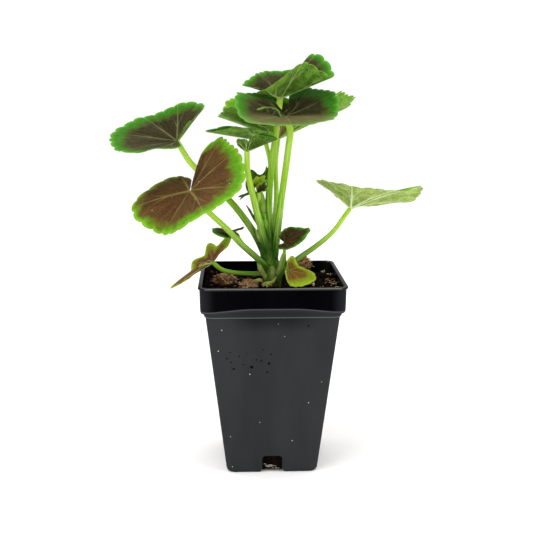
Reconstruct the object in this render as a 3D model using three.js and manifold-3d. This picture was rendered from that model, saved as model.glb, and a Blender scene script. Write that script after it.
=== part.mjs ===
// A young zonal geranium in a square nursery pot.
// Millimetres, +Z up. The origin is the middle of the pot's flat underside,
// +X runs to the right along the pot's front, and the front faces -Y.

import * as THREE from 'three';
import { mergeVertices } from 'three/addons/utils/BufferGeometryUtils.js';
import Module from 'manifold-3d';

// Driving sizes of the pot
const POT_HEIGHT = 122.8;
const LIP_WIDTH = 90;
const LIP_HEIGHT = 1.6;
const BAND_TOP_WIDTH = 88.2;
const BAND_BOTTOM_WIDTH = 87.6;
const BAND_HEIGHT = 16.3;
const BODY_TOP_WIDTH = 82.3;
const FOOT_WIDTH = 57.4;
const WALL = 1.6;
const FLOOR = 2.4;
const TOP_CORNER_RADIUS = 6;
const FOOT_CORNER_RADIUS = 5;
const FOOT_CHAMFER = 0.8;
const STEP_CHAMFER = 1;
const LIP_CHAMFER = 0.3;
const NOTCH_WIDTH = 12.6;
const NOTCH_HEIGHT = 11.6;
const NOTCH_DEPTH = 5;
const NOTCH_SHOULDER = 3;
const NOTCH_FLARE = 1;

// Driving sizes of the soil and what lies on it
const CLEARANCE = 0.3;
const SOIL_LEVEL = 115.5;
const SOIL_CRUMB = 1.1;
const SOIL_CORNER_RADIUS = 4;
const STEM_BASE = [1, 0];
const STEM_BASE_RADIUS = 6;
const STEM_BURIED_TO = 97;
const STEM_HOLE_TOP = SOIL_LEVEL + 8;

// Driving sizes of the foliage. The slot is half the width of the cut behind a stalk, the sinus
// starts at a share of the half turn from the middle vein, and a stalk stops short of its blade.
const BLADE_THICKNESS = 0.8;
const VEIN_ANGLES = [-150, -98, -48, 0, 48, 98, 150];
const SLOT = 0.5;
const NO_CURL = [0, 0, 0, 0, 0, 0, 0];
const SINUS_ANGLE = 172;
const SINUS_START = 0.86;
const SINUS_SHORTENING = 0.3;
const LOBING = 0.03;
const LOBE_ANGLE = 50;
const TOOTH_DEPTH = 0.04;
const TOOTH_ROUNDNESS = 0.6;
const TOOTH_MIDDLE = 0.7;
const STEPS_PER_TOOTH = 3;
const SMALL_LEAF = 15;
const STALK_STOP = 0.8;
const STALK_SIDES = 7;
const MAIN_STEM_SIDES = 12;

const wasm = await Module();
wasm.setup();

// Leaves. Each one is set by its seven main veins, named from the right basal lobe, round by the
// middle vein, to the left basal lobe. heading is where the middle vein points, counterclockwise
// from +X, and at is where the leaf stalk meets the blade. lift is how steeply each vein leaves the
// stalk, curl how much it bends on its way to the margin, swing how far it turns aside, and reach
// its length against size. rise and bank tip the whole blade. Where the stalk of another leaf passes
// through the cut behind a blade's own stalk, the cut widens to slot over the distance passage.
const LEAVES = [
  {
    name: 'leaf_upper_left', at: [-58, 2, 206.5], heading: 135, size: 42, teeth: 24,
    rise: 22, bank: -22,
    lift: [62, 43, 10, 3, 12, 21, 27],
    curl: [0, -5, -5, -5, -5, -5, 0],
    swing: [0, 0, 8, -2, 0, -4, -23],
    reach: [0.45, 0.65, 0.86, 0.88, 0.96, 1.12, 0.95],
  },
  {
    name: 'leaf_front_left', at: [-49, -26, 178.5], heading: 275, size: 39, teeth: 26,
    lift: [27, -11, -40, -7, 14, 44, 45],
    curl: [-10, -10, -12, -15, -15, -8, 0],
    swing: [-14, -2, 3, 10, 0, 0, -13],
    reach: [0.54, 0.95, 0.84, 0.98, 0.97, 0.97, 1.12],
  },
  {
    name: 'leaf_top', at: [6, 2, 233], heading: 42, size: 38, teeth: 24,
    lift: [3, 41, 22, 36, 30, 50, 26],
    curl: [10, 0, 0, 0, -5, -15, -15],
    swing: [0, -4, 0, 9, -14, -3, 0],
    reach: [0.85, 0.84, 0.91, 1.26, 1, 0.62, 0.66],
  },
  {
    name: 'leaf_bowl', at: [9, -9, 222], heading: 288, size: 37, teeth: 26,
    slot: 3, passage: 11,
    lift: [34, 22, 0, -4, 0, 19, 25],
    curl: [2, 5, -5, -6, -5, 5, 4],
    swing: [0, 0, -5, -16, 0, 0, -18],
    reach: [0.66, 0.9, 1.13, 0.9, 0.82, 1.02, 1.06],
  },
  {
    name: 'leaf_back', at: [6, 24, 207.2], heading: 90, size: 46, teeth: 26,
    lift: [36, 28, 19, 18, 38, 22, 38],
    curl: [0, 0, 0, 0, -12, -4, -20],
    swing: [45, 8, -9, -9, 2, -14, -20],
    reach: [1.1, 1.22, 1.15, 0.95, 1.02, 0.9, 1],
  },
  {
    name: 'leaf_middle_left', at: [-3, 11, 206.5], heading: 185, size: 37, teeth: 22,
    slot: 3, passage: 6,
    lift: [8, 12, 25, 9, 20, 24, 15],
    reach: [0.12, 0.34, 0.48, 1.04, 0.7, 0.42, 0.15],
  },
  {
    name: 'leaf_right', at: [50, -4, 165], heading: 344, size: 42, teeth: 24,
    rise: -24, bank: -8,
    lift: [19, 32, 44, 51, 33, 14, 15],
    curl: [-10, -16, -18, -18, -20, -20, 0],
    swing: [0, 3, 0, 0, 0, -3, 0],
    reach: [0.7, 0.81, 0.9, 1.1, 1.07, 0.59, 0.39],
  },
  {
    name: 'leaf_half_open', at: [-15, -15, 201.5], heading: 90, size: 18, teeth: 14,
    lift: [58, 22, 45, 15, 20, 50, 58],
    swing: [5, 0, 0, 0, 0, 0, 22],
    reach: [0.62, 1.1, 0.8, 0.35, 0.35, 0.52, 0.5],
  },
  {
    name: 'leaf_low_right', at: [7.8, -14, 145], heading: 24, size: 17.5, teeth: 14,
    rise: -9, bank: 26, slot: 1,
    lift: [-12, 20, 42, 45, 29, 44, 32],
    curl: [-10, -10, -10, -10, -10, -10, -10],
    swing: [5, 2, 0, 2, -5, -4, 0],
    reach: [0.4, 0.67, 0.78, 1.06, 0.89, 0.46, 0.31],
  },
  {
    name: 'leaf_low_front', at: [10.9, -15.5, 128], heading: 45, size: 18, teeth: 14,
    rise: -24, bank: 72,
    lift: [25, 20, 27, 18, 14, 20, 23],
    swing: [13, 0, 6, 2, -17, -4, 0],
    reach: [1, 0.72, 0.78, 1.15, 0.5, 0.52, 0.42],
  },
  {
    name: 'leaf_low_left', at: [-36.5, -14, 133], heading: 136, size: 28, teeth: 16,
    rise: -60, bank: -60, lobing: 0.35,
    lift: [-24, 3, 20, 38, 50, 51, 65],
    reach: [0.71, 0.6, 0.75, 1.15, 0.8, 0.53, 0.12],
  },
  {
    name: 'leaf_bow', at: [-22.5, -7, 151], heading: 195, size: 14, teeth: 10,
    rise: 20, bank: -14,
    lift: [34, -15, -17, -15, -10, -18, -13],
    swing: [3, 8, 0, 0, -8, -4, 0],
    reach: [0.51, 0.65, 1, 1.05, 1.15, 0.3, 0.3],
  },
  {
    name: 'crown_leaf_front', at: [-7.7, -6, 175.5], heading: 77, size: 8, teeth: 8,
    rise: 34, bank: 36,
    lift: [60, 58, 60, 59, 59, 41, 31],
    reach: [0.6, 0.77, 0.96, 1.1, 0.75, 0.58, 0.55],
  },
  {
    name: 'crown_leaf_left', at: [-11, 0.8, 178], heading: 71, size: 9, teeth: 8,
    rise: 17, bank: 48,
    lift: [57, 70, 67, 61, 54, 42, 32],
    reach: [0.48, 0.74, 1.15, 1.2, 0.84, 0.53, 0.47],
  },
  {
    name: 'crown_leaf_back', at: [-7, 11, 179], heading: 85, size: 10, teeth: 8,
    rise: 9, bank: 9,
    lift: [31, 53, 64, 54, 43, 38, 21],
    reach: [0.57, 0.87, 1.2, 0.67, 1.1, 0.75, 0.58],
  },
];

// Stalks, each a route through a few points with its radius at the start, middle and end.
// The leaf stalks start inside the main stem and end at their leaf.
const STALKS = [
  { to: 'leaf_upper_left', radii: [2.4, 2.1, 1.8],
    route: [[-1, 0, 128], [-8, 1, 144.5], [-15, 2, 156], [-24.5, 3, 168], [-44, 4, 187],
      [-50.5, 3, 194]] },
  { to: 'leaf_front_left', radii: [2.2, 1.9, 1.7],
    route: [[0, -2, 125], [-10, -8, 135.5], [-19.5, -13, 145], [-28.5, -18, 155.5],
      [-39.5, -22, 166.5]] },
  { to: 'leaf_top', radii: [2.6, 2.2, 2],
    route: [[1, -1, 132], [-1, 1, 166.5], [0.5, 4, 188.5], [4, 5, 214.5], [5, 4, 224.5]] },
  { to: 'leaf_bowl', radii: [2.4, 2.1, 2.1],
    route: [[2.5, -3, 134], [6.5, -5, 170.5], [10.5, -7, 201.5], [11.5, -9, 214]] },
  { to: 'leaf_back', radii: [2, 1.6, 1.5],
    route: [[1.5, 2, 140], [4, 9, 169], [4, 14, 194]] },
  { to: 'leaf_middle_left', radii: [1.5, 1.5, 1.5],
    route: [[0.5, 4, 178], [0, 9.5, 194]] },
  { to: 'leaf_half_open', radii: [2.4, 2.1, 1.7],
    route: [[-1.5, -2, 134], [-10, -9, 168], [-14.5, -13, 189]] },
  { to: 'leaf_right', radii: [2, 1.7, 1.5],
    route: [[2, -1, 121], [8.5, -4, 126], [18.5, -4, 134], [28.5, -4, 141], [39.5, -4, 150.5],
      [46, -4, 159.5]] },
  { to: 'leaf_low_right', radii: [1.3, 1.1, 1],
    route: [[3, -4, 119], [8, -11.5, 131]] },
  { to: 'leaf_low_front', radii: [1.4, 1.2, 1.1],
    route: [[3.5, -3, 117], [9.5, -11, 128]] },
  { to: 'leaf_low_left', radii: [1.6, 1.4, 1.4],
    route: [[-2, -1, 123], [-13, -8, 124.5], [-23, -12, 126], [-31, -14, 128.5]] },
  { to: 'leaf_bow', radii: [1.1, 0.9, 0.8],
    route: [[-2, -3, 125], [-13, -8.5, 138]] },
  { to: 'crown_leaf_front', radii: [1.6, 1.4, 1.2],
    route: [[-6.5, 0, 164]] },
  { to: 'crown_leaf_left', radii: [1.4, 1.2, 1],
    route: [[-8, 1, 168]] },
  { to: 'crown_leaf_back', radii: [1.4, 1.2, 1],
    route: [[-8, 2.5, 168]] },
];
const MAIN_STEM = {
  radii: [STEM_BASE_RADIUS, STEM_BASE_RADIUS, 5, 3.2],
  route: [[1, 0, STEM_BURIED_TO], [1, 0, 114], [-0.5, 0, 131], [-4, 1, 154], [-8.5, 2, 173]],
};

// Stipules, the small pointed flaps where the stalks leave the stem
const STIPULES = [
  { radii: [1.8, 1.3, 0.5], route: [[-8, 0, 155], [-11.5, -1, 161], [-15, -2, 167]] },
  { radii: [2.4, 1.8, 0.6], route: [[3, -3, 120], [6.5, -5, 129], [7.5, -5.5, 137]] },
  { radii: [2.2, 1.6, 0.5], route: [[-3, -3, 120], [-6.5, -5, 126], [-8, -5.5, 132]] },
  { radii: [2.2, 1.6, 0.5], route: [[0, 3, 122], [1, 6.5, 130], [1.5, 7.5, 137]] },
];

// Lumps of bark and coir on the soil
const LUMPS = [
  { name: 'coir_clump_left', at: [-29, 2, 117.5], radii: [8.5, 9, 5], turn: 20 },
  { name: 'coir_clump_front', at: [-14, -7, 116.5], radii: [8, 6, 4], turn: 75 },
  { name: 'bark_chip', at: [24.5, 34, 120.5], radii: [4.5, 4.5, 7], turn: 130 },
];

const COLOURS = {
  potPlastic: new THREE.Color(0x2a2b2d),
  peat: new THREE.Color(0x1c1512),
  bark: new THREE.Color(0x7a5236),
  stalk: new THREE.Color(0x7fae3a),
  leaf: new THREE.Color(0x56702c),
  youngLeaf: new THREE.Color(0x9ab23a),
};

// A smooth curve through values given at rising places. Past either end it keeps the end value.
function smoothAt(place, places, values) {
  const last = places.length - 1;
  const x = Math.min(Math.max(place, places[0]), places[last]);
  let i = 0;
  while (i < last - 1 && x > places[i + 1]) {
    i += 1;
  }
  const slope = (k) => {
    const before = Math.max(k - 1, 0);
    const after = Math.min(k + 1, last);
    return (values[after] - values[before]) / (places[after] - places[before]);
  };
  const width = places[i + 1] - places[i];
  const t = (x - places[i]) / width;
  const fromStart = 2 * t ** 3 - 3 * t ** 2 + 1;
  const startPull = (t ** 3 - 2 * t ** 2 + t) * width;
  const endPull = (t ** 3 - t ** 2) * width;
  const between = fromStart * values[i] + (1 - fromStart) * values[i + 1];
  return between + startPull * slope(i) + endPull * slope(i + 1);
}

// How far the scalloped margin lies from the stalk, at an angle in degrees from the middle vein
function marginReach(leaf, angle) {
  const alongMargin = (angle + SINUS_ANGLE) / (2 * SINUS_ANGLE);
  const share = Math.abs(angle) / SINUS_ANGLE;
  const nearSinus = Math.max(0, (share - SINUS_START) / (1 - SINUS_START));
  const betweenVeins = Math.sin(Math.PI * Math.min(Math.abs(angle) / LOBE_ANGLE, 3)) ** 2;
  const scallop = Math.abs(Math.sin(Math.PI * alongMargin * leaf.teeth)) ** TOOTH_ROUNDNESS;
  const lobing = leaf.lobing ?? LOBING;
  return leaf.size * smoothAt(angle, VEIN_ANGLES, leaf.reach)
    * (1 - SINUS_SHORTENING * nearSinus ** 2)
    * (1 - lobing * betweenVeins)
    * (1 + TOOTH_DEPTH * (scallop - TOOTH_MIDDLE));
}

// Half the width of the cut behind the stalk, at a distance from it
function slotAt(leaf, distance) {
  const share = Math.min(distance / (leaf.passage ?? 1), 1);
  return SLOT + ((leaf.slot ?? SLOT) - SLOT) * share ** 2 * (3 - 2 * share);
}

// A point of the blade's middle surface. The middle vein runs along +X, and part goes from 0 at
// the stalk to 1 at the margin. The blade is cut away along the slot behind the stalk.
function bladePoint(leaf, angle, part) {
  const reach = marginReach(leaf, angle);
  const lift = THREE.MathUtils.degToRad(smoothAt(angle, VEIN_ANGLES, leaf.lift));
  const curl = THREE.MathUtils.degToRad(smoothAt(angle, VEIN_ANGLES, leaf.curl ?? NO_CURL));
  const bend = Math.abs(curl) < 1e-4 ? 1e-4 : curl;
  const swing = leaf.swing ? smoothAt(angle, VEIN_ANGLES, leaf.swing) : 0;
  const slot = Math.max(slotAt(leaf, reach * part) - (leaf.spare ?? 0), 0);
  const halfSlot = Math.asin(Math.min(slot / Math.max(reach * part, 1e-6), 0.95));
  const room = Math.min(1, (180 - THREE.MathUtils.radToDeg(halfSlot)) / SINUS_ANGLE);
  const direction = THREE.MathUtils.degToRad(angle * room + swing);
  const out = reach * (Math.sin(lift + bend * part) - Math.sin(lift)) / bend;
  const up = reach * (Math.cos(lift) - Math.cos(lift + bend * part)) / bend;
  return new THREE.Vector3(out * Math.cos(direction), out * Math.sin(direction), up);
}

// The blade's upward direction, from two short steps on its middle surface
function bladeNormal(leaf, angle, part) {
  const angleStep = 0.5;
  const partStep = 0.02;
  const outward = bladePoint(leaf, angle, part).sub(bladePoint(leaf, angle, part - partStep));
  const across = bladePoint(leaf, Math.min(angle + angleStep, SINUS_ANGLE), part);
  across.sub(bladePoint(leaf, Math.max(angle - angleStep, -SINUS_ANGLE), part));
  return outward.cross(across).normalize();
}

// The blade as one closed thin solid, split alike above and below. spare makes it fatter all over,
// for cutting a seat into the stalk that carries it.
function bladeGeometry(leaf, spare = 0) {
  const parts = leaf.size > SMALL_LEAF ? [0.42, 0.8, 1] : [0.55, 1];
  const hubPart = 0.2;
  const columns = leaf.teeth * STEPS_PER_TOOTH;
  const half = BLADE_THICKNESS / 2 + spare;
  const blade = { ...leaf, spare };
  const middle = new THREE.Vector3();
  for (const angle of VEIN_ANGLES) {
    middle.add(bladeNormal(leaf, angle, hubPart));
  }
  middle.normalize();

  const positions = [];
  const put = (point) => {
    positions.push(point.x, point.y, point.z);
    return positions.length / 3 - 1;
  };
  const hub = [half, -half].map((height) => {
    const point = middle.clone().multiplyScalar(height);
    point.x -= 2 * spare;
    return put(point);
  });
  const rows = parts.map((part) => {
    const row = [];
    for (let i = 0; i <= columns; i += 1) {
      const angle = -SINUS_ANGLE + (2 * SINUS_ANGLE * i) / columns;
      const normal = bladeNormal(leaf, angle, part);
      const point = bladePoint(blade, angle, part * (1 + spare / leaf.size));
      const above = put(point.clone().addScaledVector(normal, half));
      const below = put(point.clone().addScaledVector(normal, -half));
      row.push([above, below]);
    }
    return row;
  });

  const faces = [];
  const wall = ([a, b], [c, d]) => faces.push(a, b, c, c, b, d);
  for (let i = 0; i < columns; i += 1) {
    faces.push(hub[0], rows[0][i][0], rows[0][i + 1][0]);
    faces.push(hub[1], rows[0][i + 1][1], rows[0][i][1]);
    for (let k = 0; k + 1 < rows.length; k += 1) {
      const [a, b] = [rows[k][i], rows[k][i + 1]];
      const [c, d] = [rows[k + 1][i], rows[k + 1][i + 1]];
      faces.push(a[0], c[0], d[0], a[0], d[0], b[0]);
      faces.push(a[1], d[1], c[1], a[1], b[1], d[1]);
    }
    wall(rows.at(-1)[i], rows.at(-1)[i + 1]);
  }
  const edges = [hub, ...rows.map((row) => row[0])];
  const farEdges = [hub, ...rows.map((row) => row.at(-1))];
  for (let k = 0; k + 1 < edges.length; k += 1) {
    wall(edges[k], edges[k + 1]);
    wall(farEdges[k + 1], farEdges[k]);
  }
  return geometryFrom(positions, faces);
}

function geometryFrom(positions, faces) {
  const geometry = new THREE.BufferGeometry();
  geometry.setAttribute('position', new THREE.Float32BufferAttribute(positions, 3));
  geometry.setIndex(faces);
  return geometry;
}

// A closed tube through a few points, round in section, that changes radius along its length
function taperedTube(route, radii, sides, stepsPerSpan) {
  const curve = new THREE.CatmullRomCurve3(route.map((point) => new THREE.Vector3(...point)));
  const steps = stepsPerSpan * (route.length - 1);
  const frames = curve.computeFrenetFrames(steps, false);
  const places = radii.map((_, i) => i / (radii.length - 1));
  const positions = [];
  for (let i = 0; i <= steps; i += 1) {
    const centre = curve.getPointAt(i / steps);
    const radius = smoothAt(i / steps, places, radii);
    for (let k = 0; k < sides; k += 1) {
      const turn = (2 * Math.PI * k) / sides;
      const rim = centre.clone();
      rim.addScaledVector(frames.normals[i], radius * Math.cos(turn));
      rim.addScaledVector(frames.binormals[i], radius * Math.sin(turn));
      positions.push(rim.x, rim.y, rim.z);
    }
  }
  const faces = [];
  for (let i = 0; i < steps; i += 1) {
    for (let k = 0; k < sides; k += 1) {
      const [a, b] = [i * sides + k, i * sides + ((k + 1) % sides)];
      faces.push(a, b, b + sides, a, b + sides, a + sides);
    }
  }
  const end = steps * sides;
  for (let k = 1; k + 1 < sides; k += 1) {
    faces.push(0, k + 1, k);
    faces.push(end, end + k, end + k + 1);
  }
  return geometryFrom(positions, faces);
}

// A closed loft through rings of rounded squares. Each ring has a half width, a corner radius and
// a height, which may be a formula of the place.
function roundedSquareLoft(rings, sideSteps) {
  const cornerSteps = 5;
  const ringPoints = ({ half, radius }) => {
    const points = [];
    for (let corner = 0; corner < 4; corner += 1) {
      const turn = (corner * Math.PI) / 2;
      const reach = half - radius;
      for (let i = 0; i <= cornerSteps; i += 1) {
        const angle = turn + (i / cornerSteps) * (Math.PI / 2);
        const cx = reach * Math.SQRT2 * Math.cos(turn + Math.PI / 4);
        const cy = reach * Math.SQRT2 * Math.sin(turn + Math.PI / 4);
        points.push([cx + radius * Math.cos(angle), cy + radius * Math.sin(angle)]);
      }
      const [x0, y0] = points.at(-1);
      const [dx, dy] = [-Math.sin(turn + Math.PI / 2), Math.cos(turn + Math.PI / 2)];
      for (let i = 1; i < sideSteps; i += 1) {
        points.push([x0 + (dx * 2 * reach * i) / sideSteps, y0 + (dy * 2 * reach * i) / sideSteps]);
      }
    }
    return points;
  };
  const positions = [];
  let count = 0;
  for (const ring of rings) {
    const points = ringPoints(ring);
    count = points.length;
    for (const [x, y] of points) {
      const z = typeof ring.z === 'function' ? ring.z(x, y) : ring.z;
      positions.push(x, y, z);
    }
  }
  const faces = [];
  for (let r = 0; r + 1 < rings.length; r += 1) {
    for (let i = 0; i < count; i += 1) {
      const next = (i + 1) % count;
      const [a, b] = [r * count + i, r * count + next];
      faces.push(a, b, b + count, a, b + count, a + count);
    }
  }
  const first = positions.length / 3;
  const middleHeight = (ring) => (typeof ring.z === 'function' ? ring.z(0, 0) : ring.z);
  positions.push(0, 0, middleHeight(rings[0]), 0, 0, middleHeight(rings.at(-1)));
  const top = (rings.length - 1) * count;
  for (let i = 0; i < count; i += 1) {
    const next = (i + 1) % count;
    faces.push(first, next, i);
    faces.push(first + 1, top + i, top + next);
  }
  return geometryFrom(positions, faces);
}

function solidFrom(geometry) {
  const bare = geometry.clone();
  bare.deleteAttribute('normal');
  bare.deleteAttribute('uv');
  const merged = mergeVertices(bare, 1e-4);
  return new wasm.Manifold(new wasm.Mesh({
    numProp: 3,
    vertProperties: new Float32Array(merged.attributes.position.array),
    triVerts: new Uint32Array(merged.index.array),
  }));
}

function geometryOf(solid) {
  const mesh = solid.getMesh();
  return geometryFrom(Array.from(mesh.vertProperties), Array.from(mesh.triVerts));
}

function material(colour, roughness) {
  return new THREE.MeshStandardMaterial({ color: colour, roughness, metalness: 0 });
}

const plant = new THREE.Group();

function addPiece(name, geometry, colour, roughness, place) {
  const mesh = new THREE.Mesh(geometry, material(colour, roughness));
  mesh.name = name;
  if (place) {
    mesh.position.copy(place.position);
    mesh.rotation.copy(place.rotation);
  }
  plant.add(mesh);
  return mesh;
}

// Pot: a thin tapered shell with a rolled band and lip, and a drain notch in each side of its foot
const bandBottom = POT_HEIGHT - BAND_HEIGHT;
const lipBottom = POT_HEIGHT - LIP_HEIGHT;
const bodyHalfAt = (z) => FOOT_WIDTH / 2 + ((BODY_TOP_WIDTH - FOOT_WIDTH) / 2) * (z / bandBottom);
const cornerAt = (z) => FOOT_CORNER_RADIUS + (TOP_CORNER_RADIUS - FOOT_CORNER_RADIUS) * (z / POT_HEIGHT);

function potShell() {
  const foot = FOOT_WIDTH / 2;
  const step = BAND_BOTTOM_WIDTH / 2;
  const rim = BAND_TOP_WIDTH / 2;
  const lip = LIP_WIDTH / 2;
  const corner = TOP_CORNER_RADIUS;
  const insideCorner = corner - WALL;
  return roundedSquareLoft([
    { half: foot - FOOT_CHAMFER, radius: FOOT_CORNER_RADIUS - FOOT_CHAMFER, z: 0 },
    { half: foot, radius: FOOT_CORNER_RADIUS, z: FOOT_CHAMFER },
    { half: bodyHalfAt(bandBottom), radius: cornerAt(bandBottom), z: bandBottom },
    { half: step - STEP_CHAMFER, radius: corner - STEP_CHAMFER, z: bandBottom },
    { half: step, radius: corner, z: bandBottom + STEP_CHAMFER },
    { half: rim, radius: corner, z: lipBottom },
    { half: lip, radius: corner + LIP_CHAMFER, z: lipBottom + LIP_CHAMFER },
    { half: lip, radius: corner + LIP_CHAMFER, z: POT_HEIGHT - LIP_CHAMFER },
    { half: lip - LIP_CHAMFER, radius: corner, z: POT_HEIGHT },
    { half: rim - WALL, radius: insideCorner, z: POT_HEIGHT },
    { half: step - WALL, radius: insideCorner, z: bandBottom + WALL },
    { half: bodyHalfAt(bandBottom) - WALL, radius: insideCorner, z: bandBottom + WALL - LIP_CHAMFER },
    { half: bodyHalfAt(FLOOR) - WALL, radius: FOOT_CORNER_RADIUS - WALL, z: FLOOR },
  ], 1);
}

// A drain notch is an arch pushed through the foot of one side wall and into the floor's edge. Its
// feet flare out a little.
function notchCutter() {
  const half = NOTCH_WIDTH / 2;
  const arcHeight = NOTCH_HEIGHT - NOTCH_SHOULDER;
  const arcMiddle = half - NOTCH_SHOULDER;
  const outline = new THREE.Shape();
  outline.moveTo(-half - NOTCH_FLARE, -NOTCH_FLARE);
  outline.lineTo(half + NOTCH_FLARE, -NOTCH_FLARE);
  outline.lineTo(half, NOTCH_FLARE);
  outline.lineTo(half, arcHeight);
  outline.absarc(arcMiddle, arcHeight, NOTCH_SHOULDER, 0, Math.PI / 2, false);
  outline.absarc(-arcMiddle, arcHeight, NOTCH_SHOULDER, Math.PI / 2, Math.PI, false);
  outline.lineTo(-half, NOTCH_FLARE);
  const extent = { depth: 2 * NOTCH_DEPTH, bevelEnabled: false, curveSegments: 3 };
  const cutter = new THREE.ExtrudeGeometry(outline, extent);
  cutter.rotateX(Math.PI / 2);
  cutter.translate(0, -FOOT_WIDTH / 2 + NOTCH_DEPTH, 0);
  return cutter;
}

let pot = solidFrom(potShell());
for (let side = 0; side < 4; side += 1) {
  pot = pot.subtract(solidFrom(notchCutter().rotateZ((side * Math.PI) / 2)));
}
addPiece('pot', geometryOf(pot), COLOURS.potPlastic, 0.4);

// Soil: fills the pot up to a crumbly top, and stands on the pot's floor
const soilHeight = (x, y) => SOIL_LEVEL
  + SOIL_CRUMB * Math.sin(0.55 * x + 0.9) * Math.cos(0.5 * y - 0.4)
  + 0.6 * SOIL_CRUMB * Math.sin(0.23 * x - 0.31 * y + 2);

function soilGeometry(raise = 0) {
  const bodyHalf = (z) => bodyHalfAt(z) - WALL - CLEARANCE;
  const topHalf = BAND_BOTTOM_WIDTH / 2 - WALL - 1.5 * CLEARANCE;
  const shoulder = bandBottom + WALL + CLEARANCE;
  const radius = SOIL_CORNER_RADIUS;
  const crust = [1, 0.86, 0.72, 0.58, 0.44, 0.3, 0.16].map((part) => ({
    half: topHalf * part,
    radius: radius * part,
    z: (x, y) => soilHeight(x, y) + raise,
  }));
  return roundedSquareLoft([
    { half: bodyHalf(FLOOR), radius: FOOT_CORNER_RADIUS - WALL - CLEARANCE, z: FLOOR + CLEARANCE },
    { half: bodyHalf(bandBottom), radius, z: shoulder },
    { half: topHalf, radius, z: shoulder },
    ...crust,
  ], 4);
}

// The stem stands in a plain round hole in the soil
const stemHole = taperedTube(
  [[...STEM_BASE, STEM_BURIED_TO - CLEARANCE], [...STEM_BASE, STEM_HOLE_TOP]],
  [STEM_BASE_RADIUS + 1.5 * CLEARANCE, STEM_BASE_RADIUS + 2 * CLEARANCE], 20, 1);
const soil = solidFrom(soilGeometry()).subtract(solidFrom(stemHole));
addPiece('soil', geometryOf(soil), COLOURS.peat, 0.95);

// Lumps: rough ellipsoids of chips, cut off along the soil they lie on
function lumpGeometry({ at, radii, turn }) {
  const lump = mergeVertices(bareGeometry(new THREE.IcosahedronGeometry(1, 4)), 1e-4);
  const position = lump.attributes.position;
  for (let i = 0; i < position.count; i += 1) {
    const point = new THREE.Vector3().fromBufferAttribute(position, i);
    const chips = 1 + 0.1 * Math.sin(7 * point.x + 2 * point.y) * Math.sin(8 * point.y + 3 * point.z);
    point.multiplyScalar(chips);
    position.setXYZ(i, point.x, point.y, point.z);
  }
  lump.scale(...radii);
  lump.rotateZ(THREE.MathUtils.degToRad(turn));
  lump.translate(...at);
  return lump;
}

function bareGeometry(geometry) {
  geometry.deleteAttribute('normal');
  geometry.deleteAttribute('uv');
  return geometry;
}

const soilBelow = solidFrom(soilGeometry(CLEARANCE));
for (const lump of LUMPS) {
  const solid = solidFrom(lumpGeometry(lump)).subtract(soilBelow);
  addPiece(lump.name, geometryOf(solid), COLOURS.bark, 0.9);
}

// Leaves, each placed where its stalk meets it
const youngLeaves = ['leaf_low_front', 'leaf_low_left', 'crown_leaf_left'];
const leafSeats = [];
for (const leaf of LEAVES) {
  const { degToRad } = THREE.MathUtils;
  const place = new THREE.Object3D();
  place.position.set(...leaf.at);
  place.rotation.set(degToRad(leaf.bank ?? 0), -degToRad(leaf.rise ?? 0), degToRad(leaf.heading), 'ZYX');
  const colour = youngLeaves.includes(leaf.name) ? COLOURS.youngLeaf : COLOURS.leaf;
  addPiece(leaf.name, bladeGeometry(leaf), colour, 0.6, place);
  place.updateMatrix();
  leafSeats.push(solidFrom(bladeGeometry(leaf, CLEARANCE).applyMatrix4(place.matrix)));
}

// A leaf stalk runs up to its leaf and stops just under the blade
function stalkRoute(stalk) {
  const leaf = LEAVES.find((candidate) => candidate.name === stalk.to);
  const end = new THREE.Vector3(...leaf.at);
  const lastSpan = new THREE.Vector3(...stalk.route.at(-1)).sub(end).normalize();
  end.addScaledVector(lastSpan, STALK_STOP);
  return [...stalk.route, end.toArray()];
}

// Stems: the main stem with every leaf stalk and stipule grown together, cut to seat each blade
const stemSolids = [
  solidFrom(taperedTube(MAIN_STEM.route, MAIN_STEM.radii, MAIN_STEM_SIDES, 3)),
];
for (const stalk of STALKS) {
  stemSolids.push(solidFrom(taperedTube(stalkRoute(stalk), stalk.radii, STALK_SIDES, 3)));
}
for (const stipule of STIPULES) {
  stemSolids.push(solidFrom(taperedTube(stipule.route, stipule.radii, STALK_SIDES, 2)));
}
let stems = stemSolids.reduce((grown, next) => grown.add(next));
for (const seat of leafSeats) {
  stems = stems.subtract(seat);
}
addPiece('stems', geometryOf(stems), COLOURS.stalk, 0.55);

export default plant;
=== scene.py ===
"""Looks of a young zonal geranium in a square nursery pot.

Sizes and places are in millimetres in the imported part's frame: the origin is the middle of the
pot's underside, +Z is up and the pot's front faces -Y. Meshes are made in metres.
"""

import math
import random

import bmesh
import bpy
import numpy as np
from mathutils import Euler, Matrix, Vector, kdtree, noise


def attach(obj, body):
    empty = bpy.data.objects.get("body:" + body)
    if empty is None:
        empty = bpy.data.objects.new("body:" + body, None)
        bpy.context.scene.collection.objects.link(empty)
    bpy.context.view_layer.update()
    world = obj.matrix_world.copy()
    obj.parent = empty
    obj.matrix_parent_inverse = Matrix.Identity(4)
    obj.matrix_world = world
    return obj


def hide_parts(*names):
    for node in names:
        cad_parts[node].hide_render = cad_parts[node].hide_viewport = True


MM = 0.001

# Camera, fitted to the pot's corners
CAMERA_PLACE = (-23.2, -550.9, 234.5)
CAMERA_DOWN = 10.995
CAMERA_RIGHT = 2.147
FOCAL_PIXELS = 879.3
FRAME_PIXELS = 533
SENSOR_WIDTH = 36

# Studio
FLOOR_RADIUS = 6
WORLD_STRENGTH = 1.06
LAMP_AIM = (0, 0, 0.15)
LAMPS = [
    {"name": "key", "at": (-0.7, -0.6, 1.3), "size": 0.9, "power": 9},
    {"name": "fill", "at": (0.9, -0.5, 0.9), "size": 0.8, "power": 4},
    {"name": "back", "at": (0.1, 0.9, 1.2), "size": 0.8, "power": 2},
]

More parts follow.
